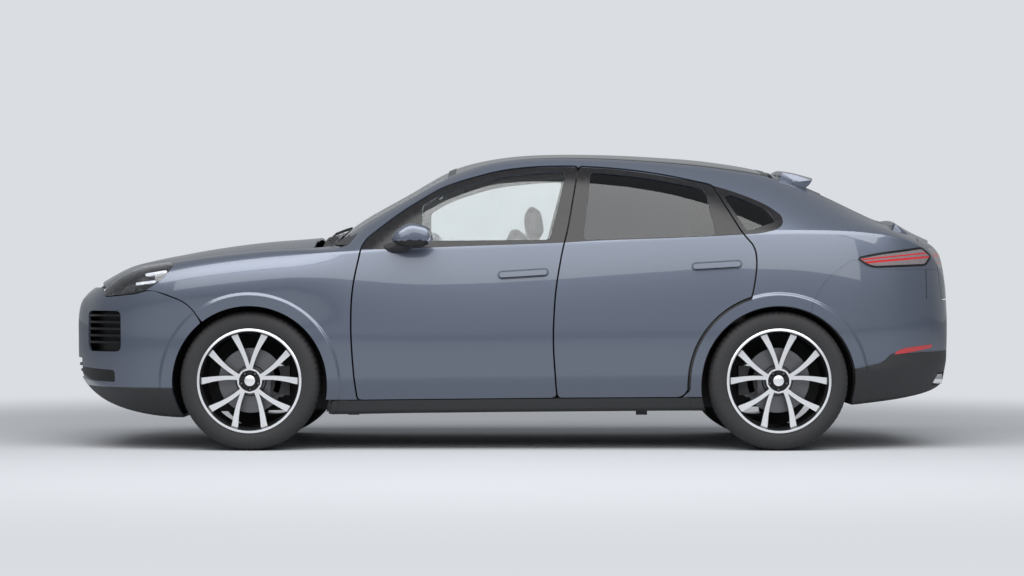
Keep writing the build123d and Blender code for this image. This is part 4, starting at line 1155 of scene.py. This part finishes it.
class CoupeGlass(bpy.types.Operator):
    """Makes the windscreen, the roof glass, the quarter glass and the wipers"""

    bl_idname = "coupe.glass"
    bl_label = "Fixed glass"

    # x and z along a wiper, and its first and last y
    wiper_path = ((1.02, 1.175), (1.0, 1.200), (0.96, 1.218), (0.93, 1.232))
    wiper_spans = ((0.62, 0.05), (0.02, -0.55))

    def execute(self, context):
        outer = shrunk(on_top(WINDSCREEN), FIXED_GAP)
        panel(
            "windscreen_glass", body().keep(outer).joined(), "glass", "root", "glass", "windscreen",
            **PANE,
        )
        roof = body().keep(shrunk(on_top(ROOF_GLASS), FIXED_GAP)).joined()
        panel(
            "roof_panel", roof, "roof", "root", "dark_glass", "roof_glass",
            depth=0.005, set_in=0.003,
        )
        quarter = body().keep(shrunk(on_side(QUARTER_WINDOW), 0.0005), beyond(CABIN_SIDE)).joined()
        panel("quarter_panes", quarter, "tint", "root", "dark_glass", "quarter_glass", **PANE)
        border = body().keep(outer, less(shrunk(on_top(WINDSCREEN), 0.035))).joined()
        panel(
            "windscreen_border", border, "black", "root", "gloss_trim", depth=0.001, set_in=0.012
        )
        for index, (first, last) in enumerate(self.wiper_spans):
            path = []
            for k, (x, z) in enumerate(self.wiper_path):
                y = first + (last - first) * k / 3
                path.append((x, y, z - 0.05 * y * y))
            arm = tube(path, 0.006, 10)
            blade = tube([(x - 0.004, y, z + 0.008) for x, y, z in path[1:]], 0.004, 8)
            solid(f"wiper_{index + 1}", [(0, arm), (1, blade)], "plastic rubber", "root", "trim")
        return {"FINISHED"}


class CoupeTailgate(bpy.types.Operator):
    """Makes the tailgate, its glass, and the spoilers over and under it"""

    bl_idname = "coupe.tailgate"
    bl_label = "Tailgate"

    # Outline, half width, forward sweep and drop of the ends, and the share that fades out
    spoilers = {
        "roof_spoiler": (ROOF_SPOILER, 0.53, 0.045, 0.030, 0.03),
        "deck_spoiler": (DECK_SPOILER, 0.575, 0.11, 0.028, 0.05),
    }

    def execute(self, context):
        gate, light = gate_field(), on_rear(BACKLIGHT, -1.6, 25)
        skin = body().keep(gate, less(light), less(on_rear(LIGHT_BAR, GATE_FRONT, 6)), above(0.8))
        skin = skin.marked(1, on_rear([(530, 1480), (545, 1245)], -1.5, 20)).joined()
        panel(
            "tailgate_skin", skin, "paint black inner_paint", "tailgate", "paint", "tailgate",
            back=2,
        )
        lining = body().keep(shrunk(gate, 0.03), less(light, 0.01)).joined()
        panel(
            "tailgate_lining", lining, "plastic", "tailgate", "trim", depth=0.02, set_in=0.0145
        )
        pane = body().keep(shrunk(light, 0.0005)).joined()
        panel(
            "backlight_pane", pane, "deep_tint", "tailgate", "dark_glass", "tailgate_glass", **PANE
        )
        for name, (outline, width, sweep, drop, fade) in self.spoilers.items():
            shape = soft(outline, 18, 30)
            middle = shape.mean(0)
            loops = []
            for t in np.linspace(-1, 1, 61):
                ease = 1 - np.clip((abs(t) - (1 - fade)) / fade, 0, 1) ** 2 * 0.75
                profile = middle + (shape - middle) * ease
                tail = np.clip((shape[:, 0].max() - profile[:, 0]) / np.ptp(shape[:, 0]), 0, 1)
                x = profile[:, 0] + sweep * abs(t) ** 2.4 * tail
                loops.append(section(x, t * width, profile[:, 1] - drop * t * t))
            blade = [(0, loft(loops))]
            solid(f"{name}_blade", blade, "paint", "tailgate", "paint", name, smooth=40.0)
        return {"FINISHED"}


class CoupeMirrors(bpy.types.Operator):
    """Makes the door mirrors"""

    bl_idname = "coupe.mirrors"
    bl_label = "Door mirrors"

    middle = (0.52, 1.165)
    # y and size of each section out along the head
    head_sections = (
        (0.972, 0.30), (0.975, 0.62), (0.984, 0.84), (1.0, 0.95), (1.02, 1.0), (1.05, 1.0),
        (1.072, 0.93), (1.086, 0.80), (1.093, 0.60), (1.0955, 0.3),
    )
    # x, y, z and size of each section out along the foot
    foot_sections = (
        (0.640, 0.905, 1.110, 0.050), (0.620, 0.945, 1.105, 0.036), (0.590, 0.985, 1.115, 0.032),
        (0.57, 1.01, 1.13, 0.034),
    )
    cap_bottom = 1.148

    def execute(self, context):
        shape, middle = soft(MIRROR_HEAD, 40, 30), np.array(self.middle)
        loops = []
        for y, size in self.head_sections:
            x, z = (middle + (shape - middle) * size).T
            loops.append(section(x, y, z))
        head = loft(loops)
        angles = np.linspace(0, 2 * math.pi, 28, endpoint=False)
        foot = loft([
            [(x + r * 1.5 * math.cos(a), y, z + r * 0.62 * math.sin(a)) for a in angles]
            for x, y, z, r in self.foot_sections
        ])
        for side, sign in SIDES:
            points, faces, marks = merged(*[
                (mark, moved(part, scale=(1, sign, 1))) for mark, part in ((0, head), (2, foot))
            ])
            for index, face in enumerate(faces):
                x, y, z = points[list(face)].mean(0)
                if marks[index] == 0 and len(face) == 4:
                    at_rear = x < 0.452 and 0.985 < abs(y) < 1.08
                    marks[index] = 3 if at_rear else int(z < self.cap_bottom)
            keys = ["paint", "black", "plastic", "mirror"]
            made = new_object(f"{side}_mirror_housing", points, faces, keys, marks, smooth=50.0)
            settle(made, f"{side}_front_door", "paint", f"{side}_mirror")
        return {"FINISHED"}


class CoupeWheels(bpy.types.Operator):
    """Makes the tyres with their tread, the wheels with their spokes, and the brakes"""

    bl_idname = "coupe.wheels"
    bl_label = "Wheels"

    # Distance in from the sidewall and radius along a tyre's side
    tyre_side = (
        (0.012, 0.276), (0.008, 0.288), (0.003, 0.300), (0, 0.318), (0.001, 0.340),
        (0.007, 0.358), (0.018, 0.371), (0.030, 0.3775),
    )
    tread_radius = 0.3815
    grooves = (-0.5, -0.17, 0.17, 0.5)
    rim_radius = 0.277
    bolt_turn, bolt_circle = 54, 0.048
    # Profiles of y and radius: the hub's cap, a wheel bolt, the brake disc, and the caliper's
    # outline in millimetres
    cap = (
        (0.003, 0.0), (0.0028, 0.020), (0.0, 0.0295), (-0.006, 0.031), (-0.02, 0.031), (-0.02, 0.0),
    )
    bolt = ((0.0, 0.0), (0.0, 0.0062), (-0.002, 0.0085), (-0.012, 0.0088), (-0.012, 0.0))
    disc = (
        (0.003, 0.028), (0.003, 0.080), (-0.004, 0.086), (-0.006, 0.178), (-0.010, 0.180),
        (-0.030, 0.180), (-0.034, 0.178), (-0.034, 0.070), (-0.034, 0.028),
    )
    caliper = ((-60, 120), (-60, 206), (22, 206), (26, 180), (26, 130), (20, 118))

    def barrel(self, half):
        """A rim's barrel with its bright lip at the outer edge."""
        lip = (
            (0.010, 0.2725), (0.0105, 0.280), (0.008, 0.2855), (-0.004, 0.2858), (-0.010, 0.272),
        )
        profile = [(half + y, r) for y, r in lip]
        profile += [(0, 0.2700), (-half, 0.2700), (-half, 0.2540)]
        return lathe(profile + [(half - 0.03, 0.2580), (half - 0.002, 0.2660)], 120)

    def tyre(self, width, depth):
        """A tyre with grooves around its tread and blocks across it."""
        half = width / 2
        profile = [(a - half, r) for a, r in self.tyre_side]
        side = [(-y, r) for y, r in reversed(profile)]
        reach, top = half - self.tyre_side[-1][0], self.tread_radius
        for share in self.grooves:
            y = share * reach * 1.25
            profile += [
                (y - 0.0065, top), (y - 0.0045, top - depth), (y + 0.0045, top - depth),
                (y + 0.0065, top),
            ]
        profile += side + [(half - 0.014, 0.268), (-half + 0.014, 0.268)]

        def ripple(index, rows):
            y, r = rows.T
            tread = (r > 0.365) & (np.abs(np.abs(y) - half * 0.42) > half * 0.2)
            band = (r > 0.305) & (r < 0.333) & (index % 2 == 0)
            return tread * (index % 3 == 0) * depth * 0.7 + band * 0.0006

        return lathe(profile, 216, ripple=ripple)

    def spokes(self, spoke_width):
        """A wheel's face: a disc of fine triangles cut to the outline of its ten arms."""
        radii = np.linspace(0.0, self.rim_radius, 78)
        angles = np.linspace(0, 2 * math.pi, 361)[:-1]
        r, a = (grid.ravel() for grid in np.meshgrid(radii, angles, indexing="ij"))
        y = 0.012 - 0.020 * np.clip((0.20 - r) / 0.2, 0, 1) ** 1.5
        y -= 0.008 * np.clip((r - 0.20) / 0.08, 0, 1)
        points = np.stack([r * np.cos(a), y, r * np.sin(a)], 1)
        index = np.arange(len(points)).reshape(78, 360)
        a, b = index[:-1], index[1:]
        c, d = np.roll(b, -1, axis=1), np.roll(a, -1, axis=1)
        triangles = np.concatenate([np.stack(t, -1).reshape(-1, 3) for t in ((a, d, c), (a, c, b))])
        outward = np.tile([0.0, 1.0, 0.0], (len(points), 1))
        face = Surface(points, outward, wide(points, triangles, 1e-12))

        def arms(p):
            r = np.maximum(np.hypot(p[:, 0], p[:, 2]), 1e-6)
            angle = np.degrees(np.arctan2(p[:, 2], p[:, 0]))
            from_bolt = np.abs((angle - self.bolt_turn + 36) % 72 - 36)
            t = np.clip((r - 0.066) / 0.19, 0, 1)
            centre = 18 + 13 * (1 - t) ** 2.2 + 2.4 * np.sin(math.pi * t)
            across = r * np.radians(np.abs(from_bolt - centre))
            width = spoke_width / 2 * (0.62 + 0.45 * t * t)
            return np.max([width - across, 0.068 - r, r - 0.268], axis=0)

        def holes(p):
            return np.min([
                np.hypot(p[:, 0] - x, p[:, 2] - z) - 0.0125 for x, z in self.bolts()
            ], axis=0)

        return face.keep(arms, holes).marked(1, lambda p: 0.058 - np.hypot(p[:, 0], p[:, 2]))

    def bolts(self):
        """The x and z of the five bolts around the wheel's centre."""
        turns = [math.radians(self.bolt_turn + 72 * k) for k in range(5)]
        return [(self.bolt_circle * math.cos(a), self.bolt_circle * math.sin(a)) for a in turns]

    def caliper_block(self, disc_y):
        """A caliper bent around the disc's front edge."""
        outline = soft(self.caliper, 14)
        middle, loops = outline.mean(0), []
        for a in np.linspace(-0.52, 0.52, 25):
            ease = min(1.0, 2.4 * math.sqrt(max(0.0, 1 - abs(a) / 0.53)))
            y, r = (middle + (outline - middle) * (0.55 + 0.45 * ease)).T
            loops.append(np.stack([-r * math.cos(a), y + disc_y, r * math.sin(a)], 1))
        return loft(loops)

    def execute(self, context):
        sizes, _ = settings()
        face = self.spokes(sizes.spoke_width)
        for place, (x, y, width) in AXLES.items():
            tyre = self.tyre(width, sizes.tread_depth)
            half = width / 2 - 0.012
            face_y, disc_y = half - 0.020, KINGPIN_Y + 0.072 - y
            hub, inboard = face_y - 0.028, disc_y + 0.002
            points, faces, marks = merged(
                (0, self.barrel(half)),
                (1, moved(lathe(self.disc, 96), (0, disc_y, 0))),
                (2, moved(lathe(self.cap, 48), (0, face_y - 0.004, 0))),
                *[(4, moved(lathe(self.bolt, 12), (u, face_y - 0.017, v))) for u, v in self.bolts()],
                (3, lathe([(hub, 0.0), (hub, 0.068), (inboard, 0.072), (inboard, 0.0)], 60)),
            )
            for n, corners in enumerate(faces):
                u, v, w = points[list(corners)].T
                bright = v.mean() > half - 0.012 and np.hypot(u, w).mean() > 0.2705
                if bright and marks[n] == 0:
                    marks[n] = 5
            spokes = Surface(face.points + (0, face_y, 0), face.normals, face.triangles, face.marks)
            block = self.caliper_block(disc_y)
            for side, sign in SIDES:
                turn = 0 if sign > 0 else 180
                centre = (x, sign * y, AXLE_Z)
                wheel = f"{place}_{side}_wheel"
                tread = [(0, moved(tyre, centre, turn, "Z"))]
                solid(
                    f"{wheel}_tyre_tread", tread, "rubber", wheel, "tyre", f"{place}_{side}_tyre",
                    smooth=35.0,
                )
                keys = ["machined", "black"]
                made = shell(f"{wheel}_spokes", spokes, keys, depth=0.030, edge=1, back=1)
                keys = ["black", "iron", "machined", "black", "steel", "machined"]
                inner = new_object(f"{wheel}_barrel", points, faces, keys, marks, smooth=35.0)
                for part in (made, inner):
                    part.data.transform(
                        Matrix.Translation(centre) @ Matrix.Rotation(math.radians(turn), 4, "Z")
                    )
                settle(made, wheel, "wheel", f"{place}_{side}_rim")
                settle(inner, wheel, "wheel")
                way = 1 if place == "front" else -1
                caliper = moved(moved(block, (x, y, AXLE_Z), scale=(way, 1, 1)), scale=(1, sign, 1))
                carrier = f"{side}_knuckle" if place == "front" else "root"
                solid(f"{wheel}_caliper", [(0, caliper)], "caliper", carrier, "steel", smooth=40.0)
        return {"FINISHED"}


class CoupeCabin(bpy.types.Operator):
    """Makes the seats, the dashboard, the steering wheel and the luggage floor"""

    bl_idname = "coupe.cabin"
    bl_label = "Cabin"

    # Name, size, place from the seat's middle, lean, edge radius, crown and number of seams
    seat = (
        ("seat_base", (0.50, 0.40, 0.14), (0.27, 0, 0.565), -6, 0.06, 0.025, 3),
        ("seat_back", (0.62, 0.38, 0.12), (-0.085, 0, 0.90), -77, 0.055, 0.02, 3),
        ("head_rest", (0.17, 0.25, 0.08), (-0.125, 0, 1.255), -80, 0.038, 0.01, 0),
        ("seat_bolster_1", (0.46, 0.075, 0.17), (0.27, -0.212, 0.575), -6, 0.035, 0.01, 0),
        ("back_bolster_1", (0.50, 0.07, 0.15), (-0.07, -0.205, 0.87), -77, 0.033, 0.01, 0),
        ("seat_bolster_3", (0.46, 0.075, 0.17), (0.27, 0.212, 0.575), -6, 0.035, 0.01, 0),
        ("back_bolster_3", (0.50, 0.07, 0.15), (-0.07, 0.205, 0.87), -77, 0.033, 0.01, 0),
    )
    dash_outline = ((1005, 720), (1005, 1070), (840, 1098), (670, 1062), (630, 905), (720, 715))

    def cushion(self, name, size, place, turn, radius, crown, seams, nodes=()):
        """A stuffed cushion with rounded edges, crowned faces and sewn seams across it."""
        points, faces = rounded_box(size, radius, steps=5, crown=crown, rows=8)
        for k in range(seams):
            line = (k + 1) / (seams + 1) * size[0] - size[0] / 2
            near = np.exp(-((points[:, 0] - line) / 0.012) ** 2)
            points[:, 2] -= near * 0.008 * np.sign(points[:, 2])
        parts = [(0, moved((points, faces), place, turn, "Y"))]
        solid(name, parts, "leather", "root", "leather", *nodes, smooth=60.0, fill=0.8)

    def block(self, size, radius, place, turn=0.0, crown=0.0):
        """A rounded block, leaned about Y."""
        return moved(rounded_box(size, radius, crown=crown), place, turn, "Y")

    def execute(self, context):
        for side, sign in SIDES:
            y = 0.400 * sign
            for name, size, (px, py, pz), *rest in self.seat:
                nodes = ("front_seats",) if (side, name) == ("left", "seat_base") else ()
                self.cushion(f"{side}_{name}", size, (px, y + py, pz), *rest, nodes)
            base = [(0, self.block((0.44, 0.42, 0.22), 0.03, (0.26, y, 0.385), crown=0.004))]
            solid(f"{side}_seat_frame", base, "plastic", "root", "trim")
        for k, y in enumerate((-0.43, 0.0, 0.43), 1):
            width = 0.40 if y else 0.42
            nodes = ("rear_bench",) if k == 1 else ()
            bench = (
                ("base", (0.50, width, 0.15), (-0.72, y, 0.555), -5, 0.055, 0.02, 2, nodes),
                ("back", (0.62, width, 0.12), (-1.04, y, 0.885), -72, 0.05, 0.02, 2),
                ("head_rest", (0.11, 0.22, 0.07), (-1.115, y, 1.225), -78, 0.034, 0.01, 0),
            )
            for name, *rest in bench:
                self.cushion(f"bench_{name}_{k}", *rest)
        base = [(0, self.block((0.54, 1.28, 0.2), 0.03, (-0.75, 0, 0.38), crown=0.004))]
        solid("bench_frame", base, "plastic", "root", "trim")
        self.dashboard()
        self.steering_wheel()
        carpet = [(0, self.block((0.93, 0.94, 0.022), 0.008, (-1.68, 0, 0.653), crown=0.002))]
        solid("luggage_carpet", carpet, "carpet", "root", "carpet", "luggage_floor")
        mirror = [(0, self.block((0.03, 0.22, 0.06), 0.014, (0.42, 0, 1.44), -10, 0.003))]
        solid("inside_mirror", mirror, "black", "root", "gloss_trim")
        return {"FINISHED"}

    def dashboard(self):
        """The dashboard with a hood over the dials, a screen, vents and the console."""
        outline = soft(self.dash_outline, 40, 30)
        loops = []
        for t in np.linspace(-1, 1, 41):
            x, z = outline.T
            hood = 0.012 * math.exp(-((t - 0.5) / 0.16) ** 2)
            loops.append(section(x + 0.01 * t * t, t * 0.775, z + hood - 0.02 * t ** 4))
        parts = [
            (0, loft(loops)),
            (1, self.block((0.80, 0.22, 0.40), 0.03, (0.32, 0, 0.48), crown=0.004)),
            (2, self.block((0.012, 0.62, 0.14), 0.006, (0.655, 0.22, 1.02), 14)),
        ]
        parts += [
            (3, self.block((0.02, 0.13, 0.035), 0.008, (0.645, y, 0.93), 10))
            for y in (-0.66, -0.1, 0.1, 0.66)
        ]
        keys = "leather plastic screen black"
        solid("dashboard_cover", parts, keys, "root", "trim", "dashboard", smooth=40.0)

    def steering_wheel(self):
        """The steering wheel's rim, hub, three arms and column."""
        turns = np.linspace(0, 2 * math.pi, 64, endpoint=False)
        rim = [(0.18 * math.cos(a), 0.18 * math.sin(a), 0) for a in turns]
        arms = [self.block((0.03, 0.13, 0.014), 0.006, (0, y, -0.004)) for y in (-0.11, 0.11)]
        points, faces, marks = merged(
            (0, tube(rim, 0.015, 12, closed=True)),
            (1, rounded_box((0.12, 0.14, 0.05), 0.022, crown=0.006)),
            (1, self.block((0.12, 0.03, 0.014), 0.006, (-0.11, 0, -0.004))),
            (2, self.block((0.07, 0.09, 0.16), 0.03, (0, 0, -0.10))),
            *[(1, arm) for arm in arms],
        )
        tilt = Matrix.Rotation(math.radians(-65), 3, "Y")
        points = points @ np.array(tilt).T + np.array([0.50, 0.40, 0.96])
        keys = ["leather", "plastic", "plastic"]
        made = new_object("steering_wheel_rim", points, faces, keys, marks, smooth=45.0)
        settle(made, "root", "leather", "steering_wheel")


class CoupeStructure(bpy.types.Operator):
    """Gives the frame's own inner pieces their finishes"""

    bl_idname = "coupe.structure"
    bl_label = "Structure"

    finishes = {
        "plastic": ("side_frames", "roof_frame", "tail_frame", "wheel_liners"),
        "chassis": (
            "front_frame", "floor_pan", "front_suspension", "rear_suspension", "left_knuckle",
            "right_knuckle",
        ),
        "steel": ("engine",),
    }

    def execute(self, context):
        for key, names in self.finishes.items():
            for name in names:
                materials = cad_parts[name].data.materials
                materials.clear()
                materials.append(mat(key))
        return {"FINISHED"}


class CoupeStage(bpy.types.Operator):
    """Makes the studio floor, the lights, the background and the camera"""

    bl_idname = "coupe.stage"
    bl_label = "Stage"

    # Name, size, place, power in watts and turn about X in degrees of each light
    lights = (
        ("overhead", (11.0, 4.5), (0, 3.6, 5.8), 700, -30),
        ("side", (13.0, 4.5), (0, 10.0, 5.0), 420, -60),
    )
    sky_colour, sky_strength = (0.93, 0.96, 1.0, 1), 0.34
    fade_start, fade_end = 3.2, 8.0
    camera_place = (0, 16.05, 0.890)

    def seen(self, nodes, links):
        """A node output that is 1 for rays from the camera, straight or through glass."""
        path, either = nodes.new("ShaderNodeLightPath"), nodes.new("ShaderNodeMath")
        either.operation = "MAXIMUM"
        links.new(path.outputs["Is Camera Ray"], either.inputs[0])
        links.new(path.outputs["Is Transmission Ray"], either.inputs[1])
        return either.outputs["Value"]

    def floor(self, colours):
        """A wide floor that takes the car's shadow and fades to the background further out."""
        rows = [[(x, y, 0) for x in np.linspace(-120, 120, 25)] for y in np.linspace(60, -160, 23)]
        points, faces = loft(rows, closed=False, caps=False)
        floor = new_object("studio_floor", points, faces, [], smooth=0)
        cover = material("coupe_floor", colours.floor, roughness=0.8, speckle=0.006, scale=0.8)
        nodes, links = cover.node_tree.nodes, cover.node_tree.links
        glow, mixed = nodes.new("ShaderNodeEmission"), nodes.new("ShaderNodeMixShader")
        glow.inputs["Color"].default_value = (*colours.background, 1)
        place, length = nodes.new("ShaderNodeTexCoord"), nodes.new("ShaderNodeVectorMath")
        length.operation = "LENGTH"
        fade, share = nodes.new("ShaderNodeMapRange"), nodes.new("ShaderNodeMath")
        fade.interpolation_type = "SMOOTHSTEP"
        fade.inputs["From Min"].default_value = self.fade_start
        fade.inputs["From Max"].default_value = self.fade_end
        share.operation = "MULTIPLY"
        links.new(place.outputs["Object"], length.inputs[0])
        links.new(length.outputs["Value"], fade.inputs["Value"])
        links.new(fade.outputs["Result"], share.inputs[0])
        links.new(self.seen(nodes, links), share.inputs[1])
        links.new(share.outputs["Value"], mixed.inputs["Fac"])
        links.new(nodes["Principled BSDF"].outputs["BSDF"], mixed.inputs[1])
        links.new(glow.outputs["Emission"], mixed.inputs[2])
        links.new(mixed.outputs["Shader"], nodes["Material Output"].inputs["Surface"])
        floor.data.materials.append(cover)

    def world(self, colours):
        """Soft light from all around, with a plain background where the camera sees it."""
        world = bpy.data.worlds.new("coupe_world")
        bpy.context.scene.world = world
        world.use_nodes = True
        nodes, links = world.node_tree.nodes, world.node_tree.links
        light, plain = nodes["Background"], nodes.new("ShaderNodeBackground")
        mixed = nodes.new("ShaderNodeMixShader")
        light.inputs["Color"].default_value = self.sky_colour
        light.inputs["Strength"].default_value = self.sky_strength
        plain.inputs["Color"].default_value = (*colours.background, 1)
        links.new(self.seen(nodes, links), mixed.inputs["Fac"])
        links.new(light.outputs["Background"], mixed.inputs[1])
        links.new(plain.outputs["Background"], mixed.inputs[2])
        links.new(mixed.outputs["Shader"], nodes["World Output"].inputs["Surface"])

    def place(self, name, data, location, rotation):
        """An object of the stage."""
        made = bpy.data.objects.new(name, data)
        made.location, made.rotation_euler = location, rotation
        bpy.context.scene.collection.objects.link(made)
        return made

    def execute(self, context):
        sizes, colours = settings()
        self.floor(colours)
        self.world(colours)
        for name, size, place, power, turn in self.lights:
            data = bpy.data.lights.new(f"coupe_{name}", "AREA")
            data.shape, data.size, data.size_y, data.energy = "RECTANGLE", *size, power
            self.place(f"coupe_{name}", data, place, (math.radians(turn), 0, 0))
        data = bpy.data.cameras.new("coupe_camera")
        data.lens, data.sensor_width, data.clip_end = sizes.lens, 36.0, 200.0
        scene, facing = bpy.context.scene, (math.pi / 2, 0, math.pi)
        scene.camera = self.place("coupe_camera", data, self.camera_place, facing)
        scene.view_settings.view_transform = "Standard"
        return {"FINISHED"}


OPERATORS = (
    CoupeHood, CoupeFrontPanels, CoupeLamps, CoupeBodySides, CoupeDoors, CoupeGlass, CoupeTailgate,
    CoupeMirrors, CoupeWheels, CoupeCabin, CoupeStructure, CoupeStage,
)


class VIEW3D_PT_coupe(bpy.types.Panel):
    """The car's sizes, colours and operators in the sidebar"""

    bl_label = "Coupe SUV"
    bl_space_type = "VIEW_3D"
    bl_region_type = "UI"
    bl_category = "Coupe SUV"

    def draw(self, context):
        sizes, colours = settings()
        for group, names in ((sizes, CoupeSizes), (colours, CoupeColours)):
            for name in names.__annotations__:
                self.layout.prop(group, name)
        for operator in OPERATORS:
            self.layout.operator(operator.bl_idname)


CLASSES = (CoupeSizes, CoupeColours, *OPERATORS, VIEW3D_PT_coupe)


def register():
    for cls in CLASSES:
        bpy.utils.register_class(cls)
    bpy.types.Scene.coupe_sizes = bpy.props.PointerProperty(type=CoupeSizes)
    bpy.types.Scene.coupe_colours = bpy.props.PointerProperty(type=CoupeColours)


def unregister():
    del bpy.types.Scene.coupe_sizes
    del bpy.types.Scene.coupe_colours
    for cls in reversed(CLASSES):
        bpy.utils.unregister_class(cls)


def main():
    register()
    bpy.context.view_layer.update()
    for operator in OPERATORS:
        group, name = operator.bl_idname.split(".")
        getattr(getattr(bpy.ops, group), name)()


if __name__ == "__main__":
    main()
